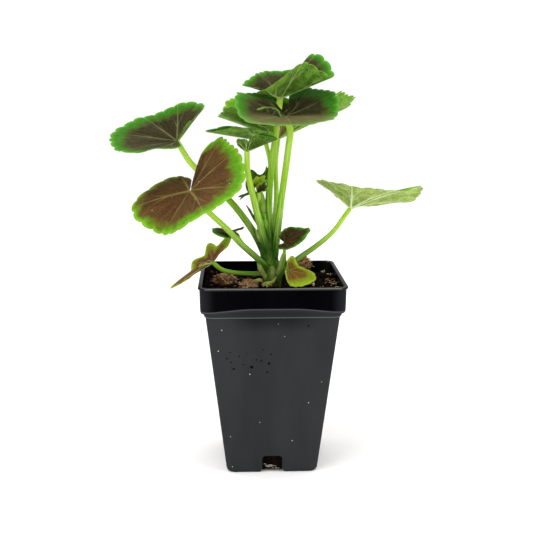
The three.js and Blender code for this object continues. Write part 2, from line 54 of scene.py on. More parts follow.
# Pot
POT_HEIGHT = 122.8
LIP_WIDTH = 90
LIP_HEIGHT = 1.6
BAND_TOP_WIDTH = 88.2
BAND_BOTTOM_WIDTH = 87.6
BAND_HEIGHT = 16.3
BAND_ARCH = 1.3
BEAD_HEIGHT = 3.2
BEAD_DEPTH = 0.7
BODY_TOP_WIDTH = 82.3
FOOT_WIDTH = 57.4
WALL = 1.6
FLOOR = 2.4
TOP_CORNER_RADIUS = 6
FOOT_CORNER_RADIUS = 5
FOOT_INSET = 4
FOOT_ROUNDING = 2.8
UNDERSIDE_CORNER_RADIUS = 2.4
CORNER_STEPS = 10
POT_SIDE_STEPS = 16
POT_RING_GAP = 5
NOTCH_WIDTH = 12.6
NOTCH_HEIGHT = 11.6
NOTCH_DEPTH = 5
NOTCH_SHOULDER = 2.2
NOTCH_ARC_STEPS = 6
BAND_BOTTOM = POT_HEIGHT - BAND_HEIGHT

# How each notch widens toward its foot: extra half width, and height
NOTCH_FLARE = [(2.6, -1), (1.6, 0.3), (0.6, 1.3), (0, 3)]

# The band's lower edge arches up along the middle of each side: how high the arch's middle lies above
# the edge, over what height it fades, and the share of the side that it takes
ARCH_MIDDLE = 0.8
ARCH_FADE = 2.4
ARCH_SHARE = 0.88

# Droplets and dust on the pot's front wall: x, z and radius
DROPLETS = [
    (-13, 72.3, 1), (-2.4, 74.5, 0.8), (-7, 76.4, 0.6), (-10.1, 77, 0.5), (-1.2, 80.6, 0.5),
    (-3.6, 68.8, 0.6), (-23.9, 71.2, 0.7), (-25.5, 75.6, 0.5), (21.3, 98.7, 0.6), (-18, 74, 0.4),
    (-20.5, 79.5, 0.45), (-28, 78, 0.5), (-16, 81, 0.35), (-26, 82, 0.4), (-6, 83.5, 0.35),
]
DUST = [
    (-30.9, 96.4, 0.35), (-33.1, 83, 0.4), (-14.1, 67.6, 0.4), (22.2, 48.1, 0.35),
    (12.4, 22.1, 0.35), (-31.2, 104.5, 0.3), (34.6, 104, 0.35), (-26.2, 25.5, 0.3),
    (-25.1, 4.4, 0.3), (7, 92, 0.25), (30, 62, 0.25), (-8, 35, 0.25), (3, 100, 0.2),
]

# Specks on the front left leaf
LEAF_SPECKS = [
    (-71.4, -31, 167.6), (-71, -34.1, 164.2), (-43.9, -24.6, 184.1), (-27.2, -36.3, 186.2),
    (-25.6, -40.7, 184.5), (-60, -27, 175), (-54, -33, 170),
]

# Soil
SOIL_LEVEL = 115.5
SOIL_CRUMB = 1.1
SOIL_HALF = BAND_BOTTOM_WIDTH / 2 - WALL - 0.1
SOIL_CORNER_RADIUS = 4
SOIL_RINGS = 90
SOIL_SIDE_STEPS = 70
LUMPS = [
    {"name": "coir_clump_left", "at": (-29, 2, 117.5), "radii": (8.5, 9, 5), "turn": 20},
    {"name": "coir_clump_front", "at": (-14, -7, 116.5), "radii": (8, 6, 4), "turn": 75},
    {"name": "bark_chip", "at": (24.5, 34, 120.5), "radii": (4.5, 4.5, 7), "turn": 130},
]

# Spots of perlite: x, y and radius
PERLITE = [(38, 39, 1.1), (36, 34, 0.7), (40, 28, 0.9), (31, 38, 0.7), (-33, -14, 0.5),
           (18, -30, 0.5), (-10, 30, 0.7)]

# Loose bits: how many of each, how far from the stem and from the soil's middle they lie, and those
# that stand at the right edge or fell to a place of their own
FLAKES_PER_LUMP = 260
FIBRES_PER_LUMP = 150
LITTER_FLAKES = 420
LITTER_FIBRES = 40
GRAINS_PER_SPOT = 5
ROOT_ENDS = 34
STEM_ROOM = 8
LITTER_HALF = 40
EDGE_FIBRES = [9.5, 6, -3, -8, -17]
FALLEN_FLAKES = [(25, -4.5, 117), (27, -6, 117), (-1.3, -8, 117)]

# Leaf blades, as in the part
VEIN_ANGLES = [-150, -98, -48, 0, 48, 98, 150]
SLOT = 0.5
PASSAGE = 1
ALL_ZERO = [0] * 7
EVEN_GREEN = [0.2] * 7
SINUS_ANGLE = 172
SINUS_START = 0.86
SINUS_SHORTENING = 0.3
LOBING = 0.03
LOBE_ANGLE = 50
TOOTH_DEPTH = 0.04
TOOTH_ROUNDNESS = 0.6
TOOTH_MIDDLE = 0.7

# The blade's finer relief, for a leaf of full size: thickness in the middle and at the margin, how
# wide a main vein is, how deep it is sunk above and stands out below, how far the tissue swells
# between veins and how far the margin ruffles
FULL_SIZE = 40
HUB_THICKNESS = 0.62
MARGIN_THICKNESS = 0.26
VEIN_WIDTH = 0.62
VEIN_SUNK = 0.34
VEIN_RAISED = 0.5
SWELL = 0.9
RUFFLE = 0.7

# Branching of each main vein: where along it the branches and their twigs start, and how far to each
# side they end, in degrees
BRANCH_START = 0.34
TWIG_START = 0.66
BRANCH_TURN = 14.7
TWIG_TURN = 6.37
BRANCH_WIDTH = 0.6
TWIG_WIDTH = 0.4
VEIN_BEND = 0.8

# How finely a blade is divided: points per tooth along the margin, and rings from the stalk outward
POINTS_PER_TOOTH = 12
RINGS = 36
SMALL_SIZE = 15
SMALL_POINTS_PER_TOOTH = 8
SMALL_RINGS = 16

# Over how many degrees the painted sheen on a blade's front fades out, and a distance from the margin
# that counts as far from it
PAINTED_SHEEN_FADE = 12
FAR_FROM_RIM = 20

# Looks of a blade. green is the share of each main vein's length that lies in the green margin. A blade
# may also have a painted sheen on its front: a paler cast that stands in for down catching light at a
# grazing angle, reaching as far from the middle vein, in degrees, as its key gives.
BRONZE = {"dark": "#2E1F0F", "light": "#5E3E22", "fringe": "#5C5A1E", "edge": "#4F8A16",
          "rim": "#79AB24", "vein": "#9A9050", "under": "#6E9E2A", "patch": "#3A6A10",
          "under_zone": "#3A4614", "under_vein": "#B4C880", "through": 0.3}
OLIVE = {**BRONZE, "dark": "#18170A", "light": "#352E18", "fringe": "#3A4816", "edge": "#2C6812",
         "rim": "#4E9226", "vein": "#8C9060"}
PALE_BENEATH = {**BRONZE, "under": "#A4BE60", "patch": "#7E9840", "under_vein": "#DAE7B2",
                "through": 0.12}
SMALL = {**OLIVE, "dark": "#1E160A", "light": "#46301A", "vein": "#5C5A30"}
DARK_BENEATH = {**OLIVE, "under": "#45681C", "patch": "#284A0E", "under_vein": "#94B060"}
FOLDED = {**OLIVE, "fringe": "#34401A", "edge": "#3A5C1C", "rim": "#6C8E46"}
GREEN_BENEATH = {**BRONZE, "under": "#80B236", "patch": "#5A8E24"}
YOUNG = {**BRONZE, "dark": "#4E3614", "light": "#7C5826", "fringe": "#84801E", "edge": "#7E9A18",
         "rim": "#A4BC34", "vein": "#A39C48", "under": "#869A38", "patch": "#6C7C26",
         "under_zone": "#6A4A2C", "under_vein": "#B4BE78"}
RUSTY = {**YOUNG, "dark": "#4A2A1C", "light": "#80503A", "under": "#7E7A34", "patch": "#6E5030",
         "under_zone": "#7A4634", "through": 0.7}

LEAVES = [
    {"name": "leaf_upper_left", "at": (-58, 2, 206.5), "heading": 135, "size": 42,
     "teeth": 24, "rise": 22, "bank": -22, "look": OLIVE,
     "lift": [62, 43, 10, 3, 12, 21, 27],
     "curl": [0, -5, -5, -5, -5, -5, 0],
     "swing": [0, 0, 8, -2, 0, -4, -23],
     "reach": [0.45, 0.65, 0.86, 0.88, 0.96, 1.12, 0.95],
     "green": [0.1, 0.12, 0.24, 0.24, 0.22, 0.16, 0.12]},
    {"name": "leaf_front_left", "at": (-49, -26, 178.5), "heading": 275, "size": 39,
     "teeth": 26, "look": BRONZE,
     "lift": [27, -11, -40, -7, 14, 44, 45],
     "curl": [-10, -10, -12, -15, -15, -8, 0],
     "swing": [-14, -2, 3, 10, 0, 0, -13],
     "reach": [0.54, 0.95, 0.84, 0.98, 0.97, 0.97, 1.12],
     "green": [0.05, 0.1, 0.18, 0.2, 0.22, 0.2, 0.14]},
    {"name": "leaf_top", "at": (6, 2, 233), "heading": 42, "size": 38,
     "teeth": 24, "look": OLIVE,
     "lift": [3, 41, 22, 36, 30, 50, 26],
     "curl": [10, 0, 0, 0, -5, -15, -15],
     "swing": [0, -4, 0, 9, -14, -3, 0],
     "reach": [0.85, 0.84, 0.91, 1.26, 1, 0.62, 0.66],
     "green": [0.2, 0.22, 0.2, 0.12, 0.14, 0.16, 0.16]},
    {"name": "leaf_bowl", "at": (9, -9, 222), "heading": 288, "size": 37,
     "teeth": 26, "slot": 3, "passage": 11, "look": OLIVE, "painted_sheen_front": 64,
     "lift": [34, 22, 0, -4, 0, 19, 25],
     "curl": [2, 5, -5, -6, -5, 5, 4],
     "swing": [0, 0, -5, -16, 0, 0, -18],
     "reach": [0.66, 0.9, 1.13, 0.9, 0.82, 1.02, 1.06],
     "green": [0.26, 0.26, 0.16, 0.12, 0.16, 0.28, 0.34]},
    {"name": "leaf_back", "at": (6, 24, 207.2), "heading": 90, "size": 46,
     "teeth": 26, "look": GREEN_BENEATH,
     "lift": [36, 28, 19, 18, 38, 22, 38],
     "curl": [0, 0, 0, 0, -12, -4, -20],
     "swing": [45, 8, -9, -9, 2, -14, -20],
     "reach": [1.1, 1.22, 1.15, 0.95, 1.02, 0.9, 1],
     "green": [0.5, 0.5, 0.3, 0.2, 0.6, 0.8, 0.8]},
    {"name": "leaf_middle_left", "at": (-3, 11, 206.5), "heading": 185, "size": 37,
     "teeth": 22, "slot": 3, "passage": 6, "look": OLIVE,
     "lift": [8, 12, 25, 9, 20, 24, 15],
     "reach": [0.12, 0.34, 0.48, 1.04, 0.7, 0.42, 0.15],
     "green": [0.3, 0.3, 0.2, 0.16, 0.2, 0.3, 0.3]},
    {"name": "leaf_right", "at": (50, -4, 165), "heading": 344, "size": 42,
     "teeth": 24, "rise": -24, "bank": -8, "look": PALE_BENEATH,
     "lift": [19, 32, 44, 51, 33, 14, 15],
     "curl": [-10, -16, -18, -18, -20, -20, 0],
     "swing": [0, 3, 0, 0, 0, -3, 0],
     "reach": [0.7, 0.81, 0.9, 1.1, 1.07, 0.59, 0.39]},
    {"name": "leaf_half_open", "at": (-15, -15, 201.5), "heading": 90, "size": 18,
     "teeth": 14, "look": DARK_BENEATH,
     "lift": [58, 22, 45, 15, 20, 50, 58],
     "swing": [5, 0, 0, 0, 0, 0, 22],
     "reach": [0.62, 1.1, 0.8, 0.35, 0.35, 0.52, 0.5],
     "green": [0.2, 0.16, 0.2, 0.3, 0.3, 0.2, 0.2]},
    {"name": "leaf_low_right", "at": (7.8, -14, 145), "heading": 24, "size": 17.5,
     "teeth": 14, "rise": -9, "bank": 26, "slot": 1, "look": SMALL,
     "lift": [-12, 20, 42, 45, 29, 44, 32],
     "curl": [-10, -10, -10, -10, -10, -10, -10],
     "swing": [5, 2, 0, 2, -5, -4, 0],
     "reach": [0.4, 0.67, 0.78, 1.06, 0.89, 0.46, 0.31],
     "green": [0.1, 0.12, 0.16, 0.14, 0.12, 0.1, 0.1]},
    {"name": "leaf_low_front", "at": (10.9, -15.5, 128), "heading": 45, "size": 18,
     "teeth": 14, "rise": -24, "bank": 72, "look": YOUNG,
     "lift": [25, 20, 27, 18, 14, 20, 23],
     "swing": [13, 0, 6, 2, -17, -4, 0],
     "reach": [1, 0.72, 0.78, 1.15, 0.5, 0.52, 0.42],
     "green": [0.2, 0.3, 0.35, 0.35, 0.35, 0.25, 0.2]},
    {"name": "leaf_low_left", "at": (-36.5, -14, 133), "heading": 136, "size": 28,
     "teeth": 16, "rise": -60, "bank": -60, "lobing": 0.35, "look": RUSTY,
     "lift": [-24, 3, 20, 38, 50, 51, 65],
     "reach": [0.71, 0.6, 0.75, 1.15, 0.8, 0.53, 0.12],
     "green": [0.3, 0.3, 0.16, 0.06, 0.16, 0.3, 0.3]},
    {"name": "leaf_bow", "at": (-22.5, -7, 151), "heading": 195, "size": 14,
     "teeth": 10, "rise": 20, "bank": -14, "look": SMALL,
     "lift": [34, -15, -17, -15, -10, -18, -13],
     "swing": [3, 8, 0, 0, -8, -4, 0],
     "reach": [0.51, 0.65, 1, 1.05, 1.15, 0.3, 0.3]},
    {"name": "crown_leaf_front", "at": (-7.7, -6, 175.5), "heading": 77, "size": 8,
     "teeth": 8, "lobing": 0.2, "rise": 34, "bank": 36, "look": SMALL,
     "lift": [60, 58, 60, 59, 59, 41, 31],
     "reach": [0.6, 0.77, 0.96, 1.1, 0.75, 0.58, 0.55]},
    {"name": "crown_leaf_left", "at": (-11, 0.8, 178), "heading": 71, "size": 9,
     "teeth": 8, "lobing": 0.2, "rise": 17, "bank": 48, "look": YOUNG,
     "lift": [57, 70, 67, 61, 54, 42, 32],
     "reach": [0.48, 0.74, 1.15, 1.2, 0.84, 0.53, 0.47],
     "green": [0.4, 0.5, 0.6, 0.6, 0.6, 0.5, 0.4]},
    {"name": "crown_leaf_back", "at": (-7, 11, 179), "heading": 85, "size": 10,
     "teeth": 8, "lobing": 0.2, "rise": 9, "bank": 9, "look": SMALL,
     "lift": [31, 53, 64, 54, 43, 38, 21],
     "reach": [0.57, 0.87, 1.2, 0.67, 1.1, 0.75, 0.58]},
]

# Small lobes that only this finer model has: one closes the bowl-shaped leaf behind a stalk, and one
# is the fold that stands in the bowl
LOBES = [
    {"name": "bowl_far_lobe", "at": (5, 7, 220.5), "heading": 90, "size": 13,
     "teeth": 10, "rise": 80, "look": OLIVE,
     "reach": [0.4, 0.9, 1.1, 1.1, 1.4, 1.0, 0.4],
     "green": [0.2, 0.2, 0.22, 0.22, 0.22, 0.2, 0.2]},
    {"name": "bowl_fold", "at": (-1.8, -20.5, 220.6), "heading": 122, "size": 9.5,
     "teeth": 10, "rise": 72, "look": FOLDED,
     "reach": [0.5, 1.05, 1.0, 0.82, 1.0, 1.05, 0.5],
     "green": [0.1, 0.12, 0.14, 0.14, 0.14, 0.12, 0.1]},
]

# Stalks, as in the part: a route up to the leaf, and radii at its start, middle and end
MAIN_STEM = {
    "radii": [6, 6, 5, 3.2],
    "route": [(1, 0, 97), (1, 0, 114), (-0.5, 0, 131), (-4, 1, 154), (-8.5, 2, 173)],
}
STALKS = [
    {"to": "leaf_upper_left", "radii": [2.4, 2.1, 1.8],
     "route": [(-1, 0, 128), (-8, 1, 144.5), (-15, 2, 156), (-24.5, 3, 168), (-44, 4, 187),
               (-50.5, 3, 194)]},
    {"to": "leaf_front_left", "radii": [2.2, 1.9, 1.7],
     "route": [(0, -2, 125), (-10, -8, 135.5), (-19.5, -13, 145), (-28.5, -18, 155.5),
               (-39.5, -22, 166.5)]},
    {"to": "leaf_top", "radii": [2.6, 2.2, 2],
     "route": [(1, -1, 132), (-1, 1, 166.5), (0.5, 4, 188.5), (4, 5, 214.5), (5, 4, 224.5)]},
    {"to": "leaf_bowl", "radii": [2.4, 2.1, 2.1],
     "route": [(2.5, -3, 134), (6.5, -5, 170.5), (10.5, -7, 201.5), (11.5, -9, 214)]},
    {"to": "leaf_back", "radii": [2, 1.6, 1.5],
     "route": [(1.5, 2, 140), (4, 9, 169), (4, 14, 194)]},
    {"to": "leaf_middle_left", "radii": [1.5, 1.5, 1.5],
     "route": [(0.5, 4, 178), (0, 9.5, 194)]},
    {"to": "leaf_half_open", "radii": [2.4, 2.1, 1.7],
     "route": [(-1.5, -2, 134), (-10, -9, 168), (-14.5, -13, 189)]},
    {"to": "leaf_right", "radii": [2, 1.7, 1.5],
     "route": [(2, -1, 121), (8.5, -4, 126), (18.5, -4, 134), (28.5, -4, 141),
               (39.5, -4, 150.5), (46, -4, 159.5)]},
    {"to": "leaf_low_right", "radii": [1.3, 1.1, 1],
     "route": [(3, -4, 119), (8, -11.5, 131)]},
    {"to": "leaf_low_front", "radii": [1.4, 1.2, 1.1],
     "route": [(3.5, -3, 117), (9.5, -11, 128)]},
    {"to": "leaf_low_left", "radii": [1.6, 1.4, 1.4],
     "route": [(-2, -1, 123), (-13, -8, 124.5), (-23, -12, 126), (-31, -14, 128.5)]},
    {"to": "leaf_bow", "radii": [1.1, 0.9, 0.8],
     "route": [(-2, -3, 125), (-13, -8.5, 138)]},
    {"to": "crown_leaf_front", "radii": [1.6, 1.4, 1.2],
     "route": [(-6.5, 0, 164)]},
    {"to": "crown_leaf_left", "radii": [1.4, 1.2, 1],
     "route": [(-8, 1, 168)]},
    {"to": "crown_leaf_back", "radii": [1.4, 1.2, 1],
     "route": [(-8, 2.5, 168)]},
]

# How finely the stems are made, and how their material's fields are worked out: places compared along
# each stalk, rounds of smoothing that find hollows, and where the main stem's core fades out
CURVE_STEPS = 24
STEM_SIDES = 24
STALK_SIDES = 16
TUBE_SPACING = 2
STEM_VOXEL = 0.42
STEM_STATIONS = 40
HOLLOW_ROUNDS = 14
CORE_REACH = 9
CORE_FADE = 3

# Stipules, the papery pointed flaps where stalks leave the stem, and other small flaps: route,
# width at the widest, look, and the way they face where that isn't away from the stem
FLAP_ROWS = 18
FLAP_COLUMNS = 8
FLAP_HALF_THICKNESS = 0.16
FRONTWARD = (0, -1, 0)
STIPULES = [
    {"name": "stipule_right", "width": 5, "look": "papery",
     "route": [(4.5, -4, 119), (7.5, -6, 129), (8.5, -6.5, 139)]},
    {"name": "stipule_left", "width": 5, "look": "papery",
     "route": [(-3, -4, 119), (-7.5, -6, 126), (-9, -6.5, 134)]},
    {"name": "stipule_back", "width": 4.5, "look": "papery",
     "route": [(0, 4, 121), (1, 7.5, 130), (1.5, 8.5, 138)]},
    {"name": "stipule_front", "width": 4.5, "look": "papery",
     "route": [(1, -5.5, 117), (1.5, -8, 124), (0.5, -9, 130)]},
    {"name": "stipule_mid", "width": 3.4, "look": "papery",
     "route": [(-4, -1.5, 140), (-8.5, -4, 147), (-10, -4.5, 153)]},
    {"name": "stipule_high", "width": 3, "look": "green",
     "route": [(-7, -2, 152), (-10, -4.5, 157), (-13, -5, 162.5), (-15.4, -5, 167.5)]},
    {"name": "crown_sheath", "width": 6.6, "look": "streaked", "face": FRONTWARD,
     "route": [(-5, -3, 162), (-6.1, -4.5, 169), (-6.6, -5.4, 177)]},
    {"name": "crown_flap", "width": 3.6, "look": "brown", "face": FRONTWARD,
     "route": [(-9.5, -1, 172), (-13.5, -3, 177), (-15.4, -3.5, 183)]},
    {"name": "crown_spike", "width": 2.6, "look": "green", "face": FRONTWARD,
     "route": [(-5, 2, 177), (-2.8, 3, 184), (-2.4, 3.4, 191)]},
    {"name": "crown_point", "width": 4, "look": "green", "face": FRONTWARD,
     "route": [(-8, 3, 178), (-10.5, 3.6, 184), (-12.6, 4, 189)]},
    {"name": "bract_low", "width": 1.8, "look": "green", "face": FRONTWARD,
     "route": [(-8, -5, 174.8), (-12.4, -8, 175.2), (-16.2, -9, 174.2), (-19.6, -9.5, 171.2)]},
    {"name": "bract_high", "width": 1.5, "look": "green", "face": FRONTWARD,
     "route": [(-15.5, -9, 174.4), (-18, -9.3, 173.8), (-20.4, -9.6, 173)]},
    {"name": "withered_left", "width": 3.4, "look": "withered", "face": (0, -0.6, 0.8),
     "route": [(-12, -6, 118.6), (-9.5, -8, 120.6), (-6.8, -9.5, 121.2), (-5.4, -10, 119)]},
    {"name": "withered_middle", "width": 2.8, "look": "withered", "face": (0, -0.8, 0.6),
     "route": [(-6, -11, 117.6), (-2.6, -11.4, 119.4), (0.8, -10.6, 119.8), (3.4, -9, 122.6)]},
    {"name": "withered_right", "width": 2.2, "look": "withered", "face": (0, -0.8, 0.6),
     "route": [(-3.4, -12, 117), (-1.4, -12.4, 118.6), (0.6, -12, 117.4)]},
]


def hex_colour(text):
    """A linear colour with alpha from a display colour written as #RRGGBB."""
    channels = []
    for place in (1, 3, 5):
        value = int(text[place:place + 2], 16) / 255
        channels.append(value / 12.92 if value <= 0.04045 else ((value + 0.055) / 1.055) ** 2.4)
    return (*channels, 1)


def placed(name, data):
    """An object that holds a mesh, a lamp or a camera."""
    item = bpy.data.objects.new(name, data)
    bpy.context.scene.collection.objects.link(item)
    return item


def mesh_object(name, points, faces):
    """An object with a mesh from points in millimetres."""
    mesh = bpy.data.meshes.new(name)
    mesh.from_pydata((np.asarray(points) * MM).tolist(), [], faces)
    mesh.update()
    return placed(name, mesh)


def add_mesh(name, points, faces, slot_name, material, replaced=()):
    """A visible piece, which rides on the part's one body."""
    piece = mesh_object(name, points, faces)
    piece.data.materials.append(material)
    piece.data.shade_smooth()
    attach(piece, "root")
    if replaced:
        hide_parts(*replaced)
    return piece


def set_attribute(piece, name, values):
    """Stores one number for each of the piece's points, for its material to read."""
    attribute = piece.data.attributes.new(name, "FLOAT", "POINT")
    attribute.data.foreach_set("value", np.asarray(values, np.float32).ravel())


class Shader:
    """A material being made. Its functions add nodes and give back their output sockets."""

    def __init__(self, name):
        self.material = bpy.data.materials.new(name)
        self.material.use_nodes = True
        self.tree = self.material.node_tree

    def feed(self, socket, value):
        if isinstance(value, bpy.types.NodeSocket):
            self.tree.links.new(value, socket)
        elif isinstance(value, str):
            socket.default_value = hex_colour(value)
        else:
            socket.default_value = value

    def finish(self, **sockets):
        """Sets the surface's inputs, named with _ for a space, and gives back the material."""
        surface = self.tree.nodes["Principled BSDF"]
        for name, value in sockets.items():
            self.feed(surface.inputs[name.replace("_", " ")], value)
        return self.material

    def node(self, kind, values, output, **settings):
        """Adds a node with its settings and input values, and gives back one of its outputs."""
        node = self.tree.nodes.new("ShaderNode" + kind)
        for name, setting in settings.items():
            setattr(node, name, setting)
        for key, value in values.items():
            self.feed(node.inputs[key], value)
        return node.outputs[output]

    def place(self):
        return self.node("TexCoord", {}, "Object")

    def attribute(self, name):
        return self.node("Attribute", {}, "Fac", attribute_name=name)

    def stretched(self, vector, scale):
        return self.node("Mapping", {"Vector": vector, "Scale": scale}, "Vector")

    def axis(self, vector, name):
        return self.node("SeparateXYZ", {"Vector": vector}, name)

    def joined_axes(self, x, y, z):
        return self.node("CombineXYZ", {"X": x, "Y": y, "Z": z}, "Vector")

    def square_places(self, vector):
        """On upright squares around the Z axis, how far out a place lies and how far from the
        middle of its side."""
        sides = [self.math("ABSOLUTE", self.axis(vector, name)) for name in ("X", "Y")]
        return self.math("MAXIMUM", *sides), self.math("MINIMUM", *sides)

    def noise(self, vector, scale, detail=4, roughness=0.55):
        values = {"Vector": vector, "Scale": scale, "Detail": detail, "Roughness": roughness}
        return self.node("TexNoise", values, "Fac")

    def cells(self, vector, scale, feature="DISTANCE_TO_EDGE"):
        return self.node("TexVoronoi", {"Vector": vector, "Scale": scale}, "Distance", feature=feature)

    def math(self, operation, first, second=0.0):
        return self.node("Math", {0: first, 1: second}, "Value", operation=operation)

    def times(self, first, second):
        return self.math("MULTIPLY", first, second)

    def apart(self, first, second):
        return self.math("ABSOLUTE", self.math("SUBTRACT", first, second))

    def ramp(self, value, start, end, low=0.0, high=1.0):
        """Rises smoothly from low to high while value goes from start to end."""
        values = dict(enumerate((value, start, end, low, high)))
        return self.node("MapRange", values, "Result", interpolation_type="SMOOTHSTEP")

    def mix(self, share, first, second):
        return self.node("Mix", {"Factor": share, 6: first, 7: second}, 2, data_type="RGBA")

    def over(self, colour, tone, value, start, end, low=0.0, high=1.0):
        """A tone laid over a colour, with a ramp's strength."""
        return self.mix(self.ramp(value, start, end, low, high), colour, tone)

    def bump(self, height, strength, depth, before=None):
        values = {"Height": height, "Strength": strength, "Distance": depth * MM}
        if before:
            values["Normal"] = before
        return self.node("Bump", values, "Normal")


def smooth_at(place, places, values):
    """A smooth curve through values given at rising places. Past either end it keeps the end value."""
    places = np.asarray(places, float)
    values = np.asarray(values, float)
    x = np.clip(place, places[0], places[-1])
    i = np.clip(np.searchsorted(places, x, side="left") - 1, 0, len(places) - 2)
    before = np.maximum(np.arange(len(places)) - 1, 0)
    after = np.minimum(np.arange(len(places)) + 1, len(places) - 1)
    slopes = (values[after] - values[before]) / (places[after] - places[before])
    width = places[i + 1] - places[i]
    t = (x - places[i]) / width
    from_start = 2 * t**3 - 3 * t**2 + 1
    start_pull = (t**3 - 2 * t**2 + t) * width
    end_pull = (t**3 - t**2) * width
    between = from_start * values[i] + (1 - from_start) * values[i + 1]
    return between + start_pull * slopes[i] + end_pull * slopes[i + 1]


def margin_reach(leaf, angle):
    """How far the scalloped margin lies from the stalk, at angles from the middle vein."""
    along_margin = (angle + SINUS_ANGLE) / (2 * SINUS_ANGLE)
    share = np.abs(angle) / SINUS_ANGLE
    near_sinus = np.maximum(0, (share - SINUS_START) / (1 - SINUS_START))
    between_veins = np.sin(np.pi * np.minimum(np.abs(angle) / LOBE_ANGLE, 3)) ** 2
    scallop = np.abs(np.sin(np.pi * along_margin * leaf["teeth"])) ** TOOTH_ROUNDNESS
    reach = leaf["size"] * smooth_at(angle, VEIN_ANGLES, leaf["reach"])
    reach = reach * (1 - SINUS_SHORTENING * near_sinus**2)
    reach = reach * (1 - leaf.get("lobing", LOBING) * between_veins)
    return reach * (1 + TOOTH_DEPTH * (scallop - TOOTH_MIDDLE))


def slot_at(leaf, distance):
    """Half the width of the cut behind the stalk, at distances from it."""
    share = np.minimum(distance / leaf.get("passage", PASSAGE), 1)
    return SLOT + (leaf.get("slot", SLOT) - SLOT) * share**2 * (3 - 2 * share)


def blade_points(leaf, angle, part):
    """Points of the blade's middle surface, with the middle vein along +X."""
    reach = margin_reach(leaf, angle)
    lift = np.radians(smooth_at(angle, VEIN_ANGLES, leaf.get("lift", ALL_ZERO)))
    bend = np.radians(smooth_at(angle, VEIN_ANGLES, leaf.get("curl", ALL_ZERO)))
    bend = np.where(np.abs(bend) < 1e-4, 1e-4, bend)
    swing = smooth_at(angle, VEIN_ANGLES, leaf.get("swing", ALL_ZERO))
    slot = slot_at(leaf, reach * part)
    half_slot = np.arcsin(np.minimum(slot / np.maximum(reach * part, 1e-6), 0.95))
    room = np.minimum(1, (180 - np.degrees(half_slot)) / SINUS_ANGLE)
    direction = np.radians(angle * room + swing)
    out = reach * (np.sin(lift + bend * part) - np.sin(lift)) / bend
    up = reach * (np.cos(lift) - np.cos(lift + bend * part)) / bend
    return np.stack([out * np.cos(direction), out * np.sin(direction), up], axis=-1)


def vein_routes():
    """Every vein as (where along the leaf it starts, its angle there, its angle at the margin,
    its width): the main ones, two branches from each, and two twigs from each branch."""
    routes = []
    along = (TWIG_START - BRANCH_START) / (1 - BRANCH_START)
    for main in VEIN_ANGLES:
        routes.append((0, main, main, 1))
        for side in (-1, 1):
            branch_end = main + side * BRANCH_TURN
            twig_angle = main + (branch_end - main) * along**VEIN_BEND
            routes.append((BRANCH_START, main, branch_end, BRANCH_WIDTH))
            for turn in (-1, 1):
                routes.append((TWIG_START, twig_angle, branch_end + turn * TWIG_TURN, TWIG_WIDTH))
    return routes


def vein_field(leaf, angle, part):
    """How near each point is to a vein, from 0 away from all to 1 on a main vein."""
    size = (leaf["size"] / FULL_SIZE) ** 0.5
    across = margin_reach(leaf, angle) * part
    field = np.zeros(np.broadcast(angle, part).shape)
    for start, first, last, width in vein_routes():
        along = np.clip((part - start) / (1 - start), 0, 1)
        route = first + (last - first) * along**VEIN_BEND
        away = np.radians(angle - route) * across
        wide = VEIN_WIDTH * size * (0.45 + 0.55 * width) * (1.15 - 0.7 * part)
        strength = width * (1 - 0.55 * part) * np.clip((part - start) / 0.04, 0, 1)
        if start == 0:
            strength = 1 - 0.5 * part
        field = np.maximum(field, strength * np.exp(-((away / wide) ** 2)))
    return field


def grid_normals(points):
    outward = np.gradient(points, axis=0)
    across = np.gradient(points, axis=1)
    normals = np.cross(outward, across)
    return normals / np.maximum(np.linalg.norm(normals, axis=-1, keepdims=True), 1e-9)


def leaf_matrix(leaf):
    turn = Matrix.Rotation(math.radians(leaf["heading"]), 3, "Z")
    turn = turn @ Matrix.Rotation(-math.radians(leaf.get("rise", 0)), 3, "Y")
    return np.array(turn @ Matrix.Rotation(math.radians(leaf.get("bank", 0)), 3, "X"))


def leaf_phase(leaf):
    """A number of the leaf's own, so that no two leaves ruffle alike."""
    return sum(ord(letter) for letter in leaf["name"]) % 17


def blade_faces(rows, columns):
    """Faces of a closed thin sheet, cut behind the stalk: a hub point above and one below, then all
    rings of the upper side and all rings of the lower side."""
    top = 2 + np.arange(rows * (columns + 1)).reshape(rows, -1)
    low = top + top.size
    sheet = np.vstack([top, low[::-1]])
    quads = np.stack([sheet[:-1, :-1], sheet[1:, :-1], sheet[1:, 1:], sheet[:-1, 1:]], axis=-1)
    faces = quads.reshape(-1, 4).tolist()
    for i in range(columns):
        faces += [(0, top[0, i], top[0, i + 1]), (1, low[0, i + 1], low[0, i])]
    for column, order in ((0, 1), (columns, -1)):
        upper = [0, *top[:, column]]
        lower = [1, *low[:, column]]
        for wall in zip(upper, lower, lower[1:], upper[1:]):
            faces.append(wall[::order])
    return faces


